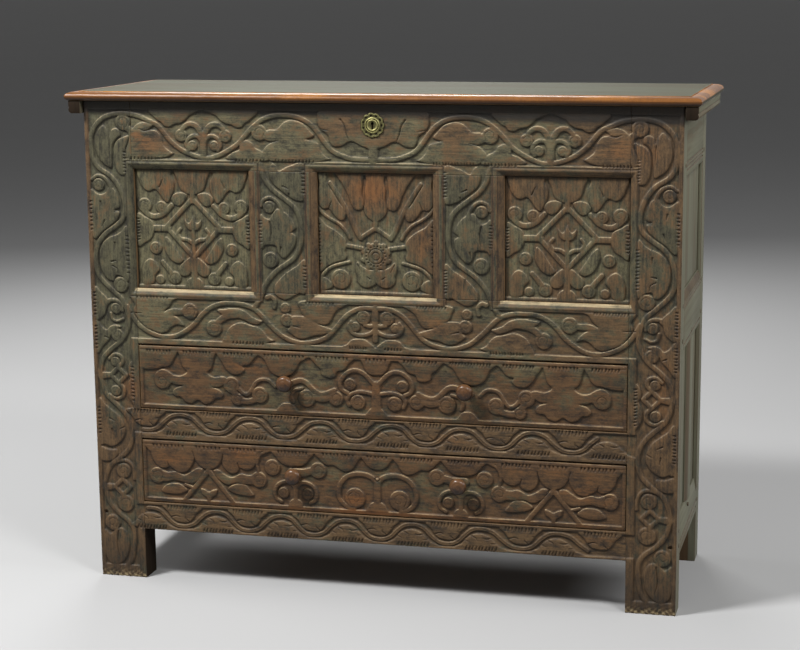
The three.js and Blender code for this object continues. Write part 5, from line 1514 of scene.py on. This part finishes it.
xs = lid_lines(lid_low.x, lid_high.x)
ys = lid_lines(lid_low.y, lid_high.y, REAR_STEPS_MM)
x, y = np.meshgrid(xs, ys)
from_edge = np.minimum(np.minimum(x - lid_low.x, lid_high.x - x), y - lid_low.y)
drop = np.interp(from_edge, NOSING_STEPS_MM, NOSING_DROPS_MM)
drop = np.maximum(drop, np.interp(lid_high.y - y, (0.0, 0.6, 1.4), (1.2, 0.3, 0.0)))
wear = 0.25 + 0.25 * np.sin(0.021 * x + 1.1 * np.sin(0.013 * y)) * np.sin(0.047 * y + 0.4)
drop = drop + wear * (from_edge > 22) + 0.35 * (1 + hand_marks(x * 0.6, y * 0.8)) * (from_edge < 9)
for split_y, split_x, length in SPLITS_MM:
    run = np.clip(1 - np.abs(x - split_x) / length, 0, 1)
    crack = np.exp(-(((y - split_y - 2.5 * np.sin(0.03 * x)) / 2.2) ** 2))
    drop = drop + 1.1 * run * crack * (from_edge > 20)
top = np.stack([x, y, lid_high.z - drop], -1).reshape(-1, 3)
quads, ring = woven(len(xs), len(ys))
rim = top[ring]
centre = np.array([(lid_low.x + lid_high.x) / 2, (lid_low.y + lid_high.y) / 2])
reach = np.array([lid_high.x - centre[0], lid_high.y - centre[1]])
layers = [top]
for inward, level_z in UNDER_MM:
    layer = rim.copy()
    layer[:, :2] = centre + (layer[:, :2] - centre) * (1 - inward / reach)
    layer[:, 2] = lid_low.z + level_z
    layers.append(layer)
layers.append(np.array([[centre[0], centre[1], lid_low.z]]))
points = np.concatenate(layers)
faces = [tuple(quad) for quad in quads]
upper = ring
for step in range(len(UNDER_MM)):
    lower = len(top) + step * len(ring) + np.arange(len(ring))
    for a, b, c, d in zip(upper, np.roll(upper, -1), np.roll(lower, -1), lower):
        faces.append((b, a, d, c))
    upper = lower
for a, b in zip(upper, np.roll(upper, -1)):
    faces.append((b, a, len(points) - 1))


def lid_oak_finish(name, roughness, gloss):
    """Thin grey-green paint along the grain, gone to bare orange-brown oak on the moulding, with painted
    shade on the moulding's underside.
    """
    finish = Finish(name)
    streaks = finish.noise(finish.stretched(3.0, 90.0, 90.0), 1.0, 5.0, 0.65)
    patches = finish.noise(finish.stretched(2.2, 12.0, 12.0), 1.0, 4.0, 0.6)
    specks = finish.noise(finish.place, 220.0, 3.0, 0.7)
    edge = finish.own("edge")
    grain = (streaks * 0.6 + patches * 0.5).between(0.3, 0.85)
    paint = finish.mixed(grain, srgb(84, 85, 68), srgb(63, 63, 49))
    thin = (streaks + patches * 0.8).between(0.9, 1.2) * 0.6
    paint = finish.mixed(thin, paint, srgb(84, 68, 48))
    grain = (streaks * 0.7 + specks * 0.5).between(0.35, 0.8)
    bare = finish.mixed(grain, srgb(206, 136, 54), srgb(122, 76, 32))
    bare = finish.mixed((patches - 0.45).between(0.0, 0.14) * 0.75, bare, srgb(88, 52, 26))
    # Painted shade: the moulding's underside darkens toward the board's foot.
    bare = finish.mixed(finish.own("under") * 0.85, bare, srgb(36, 24, 15))
    share = (edge * 1.5 + specks * 0.5 + patches * 0.4 - 0.75).between(0.0, 0.5)
    colour = finish.mixed(share, paint, bare)
    normal = finish.bump(streaks * 0.6 + specks * 0.3, 0.3, 0.001)
    return finish.done(colour, specks * 0.12 + roughness, normal, Specular_IOR_Level=gloss)


lid_paint = lid_oak_finish("lid_paint", 0.7, 0.14)
lid_moulding = lid_oak_finish("lid_moulding", 0.28, 0.32)

# Notches in the rear edge for the hinges' knuckles, and a shallow bed under the board for each leaf:
# the lowest and highest corner of each on the right, in mm.
HINGE_CUTS_MM = {
    "knuckle_notches": ((307.0, 205.8, 930.0), (365.0, 220.0, 970.0)),
    "leaf_beds": ((310.7, 172.8, 930.0), (361.3, 207.0, 942.6)),
}
lid_finishes = [lid_paint, lid_moulding, inner_along]
BARE_OAK = 2


def hinge_cutter(name, corners):
    """Two boxes to cut away, one at each hinge, whose faces take the bare oak's finish."""
    points, faces = [], []
    for way in (-1, 1):
        start = len(points)
        for corner in range(8):
            x, y, z = (corners[corner >> k & 1][k] * MM for k in range(3))
            points.append((way * x, y, z))
        for quad in ((0, 2, 3, 1), (4, 5, 7, 6), (0, 1, 5, 4), (2, 6, 7, 3), (0, 4, 6, 2), (1, 3, 7, 5)):
            faces.append([start + k for k in quad])
    cutter = new_piece(name, points, faces, lid_finishes)
    face_out(cutter)
    for face in cutter.data.polygons:
        face.material_index = BARE_OAK
    return cutter


def settled(made):
    """The mesh of a piece with its modifiers worked in. None is left on it."""
    bpy.context.view_layer.update()
    solved = made.evaluated_get(bpy.context.evaluated_depsgraph_get())
    mesh = bpy.data.meshes.new_from_object(solved)
    made.modifiers.clear()
    return mesh


lid = new_piece("lid_board_moulded", (points * MM).tolist(), faces, lid_finishes)
for face in lid.data.polygons:
    centre_x, centre_y, centre_z = face.center / MM
    within = min(centre_x - lid_low.x, lid_high.x - centre_x, centre_y - lid_low.y)
    face.material_index = int(within < NOSING_MM or centre_z < lid_high.z - 8)
    if face.normal.z < -0.9 or centre_y > lid_high.y - 1:
        face.material_index = BARE_OAK
on_top = np.exp(-np.maximum(from_edge - 20.0, 0.0) / 2.5).ravel()
below = points[len(top):]
still_painted = (np.abs(below[:, 0]) > lid_high.x - 3.0) & (below[:, 1] > lid_low.y + 12.0)
keep(lid.data, "edge", np.concatenate([on_top, np.where(still_painted, 0.12, 1.0)]))
# The painted shade under the moulding, by layer from the top edge down.
painted_underside_shade = np.repeat((0.25, 0.6, 0.9, 1.0, 1.0), len(ring))
keep(lid.data, "under", np.concatenate([np.zeros(len(top)), painted_underside_shade, [0.0]]))
face_out(lid)
cutters = [hinge_cutter(name, corners) for name, corners in HINGE_CUTS_MM.items()]
for cutter in cutters:
    cutting = lid.modifiers.new(cutter.name, "BOOLEAN")
    cutting.operation = "DIFFERENCE"
    cutting.solver = "FAST"
    cutting.object = cutter
lid.data = settled(lid)
for cutter in cutters:
    bpy.data.objects.remove(cutter)
lid.data.shade_smooth()
lid.data.set_sharp_from_angle(angle=math.radians(50))
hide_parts("lid_board")
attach(lid, "lid")
for side in ("left", "right"):
    # The cleats' front ends take the near-black oak, as painted shade.
    eased(f"lid_cleat_{side}", [side_paint_level, painted_shade_oak, worn_edge], 1.2, ((0.0, -1.0, 0.0),))


# The hinges, the lock and its staple: forged iron, blackened and a little rusty. The hinges' leaves
# turn on riveted pins, and the lock's case is nailed behind the top rail.
forged = Finish("forged_iron")
scale = forged.noise(forged.place, 180.0, 4.0, 0.65)
rust = forged.noise(forged.place, 60.0, 4.0, 0.7)
iron_colour = forged.mixed(scale.between(0.35, 0.7), srgb(44, 42, 40), srgb(66, 62, 58))
iron_colour = forged.mixed(rust.between(0.52, 0.72) * 0.7, iron_colour, srgb(92, 58, 38))
forged_iron = forged.done(iron_colour, 0.52 + rust * 0.25, forged.bump(scale, 0.35, 0.0008), Metallic=0.75)
for side in ("left", "right"):
    eased(f"hinge_case_leaf_{side}", [forged_iron], 0.35)
    eased(f"hinge_lid_leaf_{side}", [forged_iron], 0.35)
for part in ("lock_case", "lock_bolt", "lid_staple"):
    eased(part, [forged_iron], 0.4)


# The escutcheon: a cast brass plate with a pierced, scalloped rim and two raised rings, pinned
# over the keyhole in the top rail.
ESCUTCHEON_TURNS = 180
RIM_LOBES = 11
PLATE_WIDER_MM = 1.4
PLATE_HEIGHT_MM = 900.0
BOW_UP_MM, BOW_RADIUS_MM = 3.2, 2.9
SLOT_HALF_MM, SLOT_FOOT_MM = 1.5, -7.6
HIGHEST_RING_MM = 3.15
ROUND_FROM_MM = 8.4
RIM_FROM_MM = 18.9
PIERCED_FROM_MM, PIERCED_TO_MM, PIERCED_MM = 16.0, 19.4, 1.2
# How high the brass stands: by the share of the way out from the hole, by radius, and by the share of
# the way across the rim.
HOLE_RISES = ((0.0, 1.4), (0.3, 1.5), (0.7, 1.7), (1.0, 2.1))
RING_RISES = (
    (9.0, 3.0), (9.7, HIGHEST_RING_MM), (10.4, 2.7), (11.0, 1.5), (11.7, 1.3), (12.3, 2.2), (13.0, 3.0),
    (13.8, 2.8), (14.5, 1.7), (15.2, 1.5), (15.9, 1.5), (16.6, 1.5), (17.4, 1.5), (18.2, 1.6),
    (RIM_FROM_MM, 1.7),
)
RIM_RISES = ((0.25, 2.0), (0.6, 1.9), (0.85, 1.5), (1.0, 0.9))

plate_low, plate_high = (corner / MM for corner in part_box("escutcheon"))
plate_middle = (plate_low + plate_high) / 2
plate_reach = (plate_high.x - plate_low.x) / 2 + PLATE_WIDER_MM
angles = np.linspace(0.0, math.tau, ESCUTCHEON_TURNS, endpoint=False)
steps = np.linspace(0.0, 12.0, 481)
hole = []
for angle in angles:
    away_x, away_z = steps * math.cos(angle), steps * math.sin(angle)
    bow = np.hypot(away_x, away_z - BOW_UP_MM) < BOW_RADIUS_MM
    slot = (np.abs(away_x) < SLOT_HALF_MM) & (away_z > SLOT_FOOT_MM) & (away_z < BOW_UP_MM)
    hole.append(steps[bow | slot].max())
hole = np.array(hole)
lobe_wave = np.abs(np.cos(RIM_LOBES * angles / 2)) ** 0.6
outer = plate_reach * (0.88 + 0.12 * lobe_wave)
laid = [(hole + (ROUND_FROM_MM - hole) * share, rise) for share, rise in HOLE_RISES]
laid += [(np.full(ESCUTCHEON_TURNS, radius), rise) for radius, rise in RING_RISES]
laid += [(RIM_FROM_MM + (outer - RIM_FROM_MM) * share, rise) for share, rise in RIM_RISES]
laid += [(outer, 0.0), (hole, 0.0)]
plate_rings = []
for radius, rise in laid:
    pierced = (np.cos(RIM_LOBES * angles) > 0.35) & (radius > PIERCED_FROM_MM) & (radius < PIERCED_TO_MM)
    ring_x = plate_middle.x + radius * np.cos(angles)
    ring_y = plate_high.y - rise + PIERCED_MM * pierced
    ring_z = PLATE_HEIGHT_MM + radius * np.sin(angles)
    plate_rings.append(np.stack([ring_x, ring_y, ring_z], -1))
points = np.concatenate(plate_rings) * MM
turns = np.arange(ESCUTCHEON_TURNS)
faces = []
for ring in range(len(plate_rings)):
    here = ring * ESCUTCHEON_TURNS
    following = (ring + 1) % len(plate_rings) * ESCUTCHEON_TURNS
    for a, b in zip(turns, np.roll(turns, -1)):
        faces.append((here + a, here + b, following + b, following + a))

brass = Finish("old_brass")
tarnish = brass.noise(brass.place, 240.0, 4.0, 0.65)
brass_height = brass.own("height")
bright = (tarnish * 0.5 + brass_height * 0.8).between(0.45, 1.05)
brass_colour = brass.mixed(bright, srgb(38, 36, 22), srgb(158, 152, 100))
old_brass = brass.done(brass_colour, 0.42 + tarnish * 0.2, brass.bump(tarnish, 0.2, 0.0004), Metallic=0.8)
plate = new_piece("escutcheon_plate", points.tolist(), faces, [old_brass])
face_out(plate)
plate.data.shade_smooth()
plate.data.set_sharp_from_angle(angle=math.radians(55))
keep(plate.data, "height", np.clip((plate_high.y - points[:, 1] / MM) / HIGHEST_RING_MM, 0, 1))
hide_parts("escutcheon")
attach(plate, "case")


# The fastenings: riven oak pegs driven through the tenons of the sides and back, and forged nails
# in the cleats, the hinges and the lock. Each stands a little proud and is turned its own way.
SUNK_MM = 2.0
UNEVENNESS = 0.15
OTHER_DRAW = 7.0


def fastening_nodes():
    """Sets a small tapered, many-cornered shank on each spot, turned and sized a little differently."""
    tree = bpy.data.node_groups.new("fastenings", "GeometryNodeTree")
    wanted = (
        ("Spots", "Geometry"), ("Radius", "Float"), ("Length", "Float"), ("Taper", "Float"),
        ("Corners", "Int"), ("Unevenness", "Float"), ("Seed", "Int"), ("Finish", "Material"),
    )
    for title, kind in wanted:
        tree.interface.new_socket(title, in_out="INPUT", socket_type="NodeSocket" + kind)
    tree.interface.new_socket("Fastenings", in_out="OUTPUT", socket_type="NodeSocketGeometry")

    def node(kind, settings, values):
        made = tree.nodes.new(kind)
        for title, setting in settings.items():
            setattr(made, title, setting)
        for title, value in values.items():
            found = [socket for socket in made.inputs if socket.enabled]
            socket = next(socket for socket in found if title in (socket.name, socket.identifier))
            if isinstance(value, bpy.types.NodeSocket):
                tree.links.new(value, socket)
            else:
                socket.default_value = value
        return {socket.name: socket for socket in made.outputs if socket.enabled}

    def worked_out(operation, first, second):
        values = {"Value": first, "Value_001": second}
        return node("ShaderNodeMath", {"operation": operation}, values)["Value"]

    def drawn(least, most, seed):
        values = {"Min": least, "Max": most, "Seed": seed}
        return node("FunctionNodeRandomValue", {"data_type": "FLOAT"}, values)["Value"]

    given = node("NodeGroupInput", {}, {})
    shank = node("GeometryNodeMeshCone", {}, {
        "Vertices": given["Corners"],
        "Radius Top": worked_out("MULTIPLY", given["Radius"], given["Taper"]),
        "Radius Bottom": given["Radius"],
        "Depth": given["Length"],
    })
    outward = node("GeometryNodeInputNamedAttribute", {"data_type": "FLOAT_VECTOR"}, {"Name": "outward"})
    aligned = node("FunctionNodeAlignRotationToVector", {"axis": "Z"}, {"Vector": outward["Attribute"]})
    turn = drawn(0.0, math.tau, given["Seed"])
    twist = node("FunctionNodeAxisAngleToRotation", {}, {"Axis": (0.0, 0.0, 1.0), "Angle": turn})
    turned_round = node("FunctionNodeRotateRotation", {"rotation_space": "LOCAL"}, {
        "Rotation": aligned["Rotation"], "Rotate By": twist["Rotation"],
    })
    least = worked_out("SUBTRACT", 1.0, given["Unevenness"])
    set_in = node("GeometryNodeInstanceOnPoints", {}, {
        "Points": given["Spots"],
        "Instance": shank["Mesh"],
        "Rotation": turned_round["Rotation"],
        "Scale": drawn(least, 1.0, worked_out("ADD", given["Seed"], OTHER_DRAW)),
    })
    real = node("GeometryNodeRealizeInstances", {}, {"Geometry": set_in["Instances"]})
    finished = node("GeometryNodeSetMaterial", {}, {
        "Geometry": real["Geometry"], "Material": given["Finish"],
    })
    node("NodeGroupOutput", {}, {"Fastenings": finished["Geometry"]})
    return tree


fastenings = fastening_nodes()


def fastened(name, spots, radius, proud, corners, taper, finish, body, seed):
    """One piece of all the pegs or nails on a body. A spot is its place on the surface, and the way
    that it points."""
    points = [tuple((Vector(place) - SUNK_MM * Vector(way)) * MM) for place, way in spots]
    marked = new_piece(name + "_spots", points, [])
    kept = marked.data.attributes.new("outward", "FLOAT_VECTOR", "POINT")
    for value, (_, way) in zip(kept.data, spots):
        value.vector = way
    modifier = marked.modifiers.new("fastenings", "NODES")
    modifier.node_group = fastenings
    chosen = {
        "Radius": radius * MM, "Length": (SUNK_MM + proud) * MM, "Taper": taper, "Corners": corners,
        "Unevenness": UNEVENNESS, "Seed": seed, "Finish": finish,
    }
    for item in fastenings.interface.items_tree:
        if item.name in chosen:
            modifier[item.identifier] = chosen[item.name]
    mesh = settled(marked)
    bpy.data.objects.remove(marked)
    made = bpy.data.objects.new(name, mesh)
    bpy.context.scene.collection.objects.link(made)
    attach(made, body)


SIDEWAYS = {"left": (-1.0, 0.0, 0.0), "right": (1.0, 0.0, 0.0)}
PEG_IN_MM = 14
BACK_PEG_IN_MM = 18
RAIL_PEG_UP_MM = 20
MUNTIN_PEG_UP_MM = 13

peg_spots = []
for side, way in (("left", -1), ("right", 1)):
    for rail in ("top", "middle", "bottom"):
        low_corner, high_corner = (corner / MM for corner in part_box(f"side_{rail}_rail_{side}"))
        for post_place in (low_corner.y + PEG_IN_MM, high_corner.y - PEG_IN_MM):
            for level_z in (low_corner.z + RAIL_PEG_UP_MM, high_corner.z - RAIL_PEG_UP_MM):
                peg_spots.append(((way * post_out, post_place, level_z), SIDEWAYS[side]))
        low_corner, high_corner = (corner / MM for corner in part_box(f"back_{rail}_rail"))
        for level_z in (low_corner.z + RAIL_PEG_UP_MM, high_corner.z - RAIL_PEG_UP_MM):
            peg_spots.append(((way * (high_corner.x - BACK_PEG_IN_MM), high_corner.y, level_z), BACKWARD))
    low_corner, high_corner = (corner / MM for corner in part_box(f"side_muntin_{side}"))
    muntin_middle = (low_corner.y + high_corner.y) / 2
    for level_z in (low_corner.z + MUNTIN_PEG_UP_MM, high_corner.z - MUNTIN_PEG_UP_MM):
        peg_spots.append(((way * post_out, muntin_middle, level_z), SIDEWAYS[side]))
fastened("pegs_in_the_case", peg_spots, 4.6, 0.8, 9, 0.93, worn_edge, "case", 3)

HINGE_MIDDLE_MM = 336.0
KNUCKLE_FROM_Y_MM, KNUCKLE_FROM_Z_MM = 190, 920
LID_NAIL_Y_MM, LID_NAIL_BACK_MM = 184.0, 6.0
CASE_NAIL_Z_MM, CASE_NAIL_UP_MM = 912.0, 8.0
LOCK_NAIL_IN_MM = 7

lid_nails, case_nails = [], []
for side, way in (("left", -1), ("right", 1)):
    low_corner, high_corner = (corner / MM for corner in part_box(f"lid_cleat_{side}"))
    cleat_middle = (low_corner.x + high_corner.x) / 2
    for share in (0.06, 0.35, 0.65, 0.94):
        along = low_corner.y + share * (high_corner.y - low_corner.y)
        lid_nails.append(((cleat_middle, along, low_corner.z), DOWNWARD))
    # Each leaf's flat is measured clear of its knuckle.
    lid_leaf = [vertex.co / MM for vertex in frame["nodes"][f"hinge_lid_leaf_{side}"].data.vertices]
    flat_z = min(point.z for point in lid_leaf if point.y < KNUCKLE_FROM_Y_MM)
    case_leaf = [vertex.co / MM for vertex in frame["nodes"][f"hinge_case_leaf_{side}"].data.vertices]
    flat_y = max(point.y for point in case_leaf if point.z < KNUCKLE_FROM_Z_MM)
    for shift in (-15.0, 0.0, 15.0):
        middle_one = shift == 0.0
        nail_x = way * HINGE_MIDDLE_MM + shift
        lid_nails.append(((nail_x, LID_NAIL_Y_MM + LID_NAIL_BACK_MM * middle_one, flat_z), DOWNWARD))
        case_nails.append(((nail_x, flat_y, CASE_NAIL_Z_MM + CASE_NAIL_UP_MM * middle_one), BACKWARD))
lock_low, lock_high = (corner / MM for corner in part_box("lock_case"))
for x in (lock_low.x + LOCK_NAIL_IN_MM, lock_high.x - LOCK_NAIL_IN_MM):
    for z in (lock_low.z + LOCK_NAIL_IN_MM, lock_high.z - LOCK_NAIL_IN_MM):
        case_nails.append(((x, lock_high.y, z), BACKWARD))
fastened("nails_in_the_lid", lid_nails, 3.6, 0.9, 10, 0.6, forged_iron, "lid", 11)
fastened("nails_in_the_case", case_nails, 3.2, 0.8, 10, 0.6, forged_iron, "case", 12)
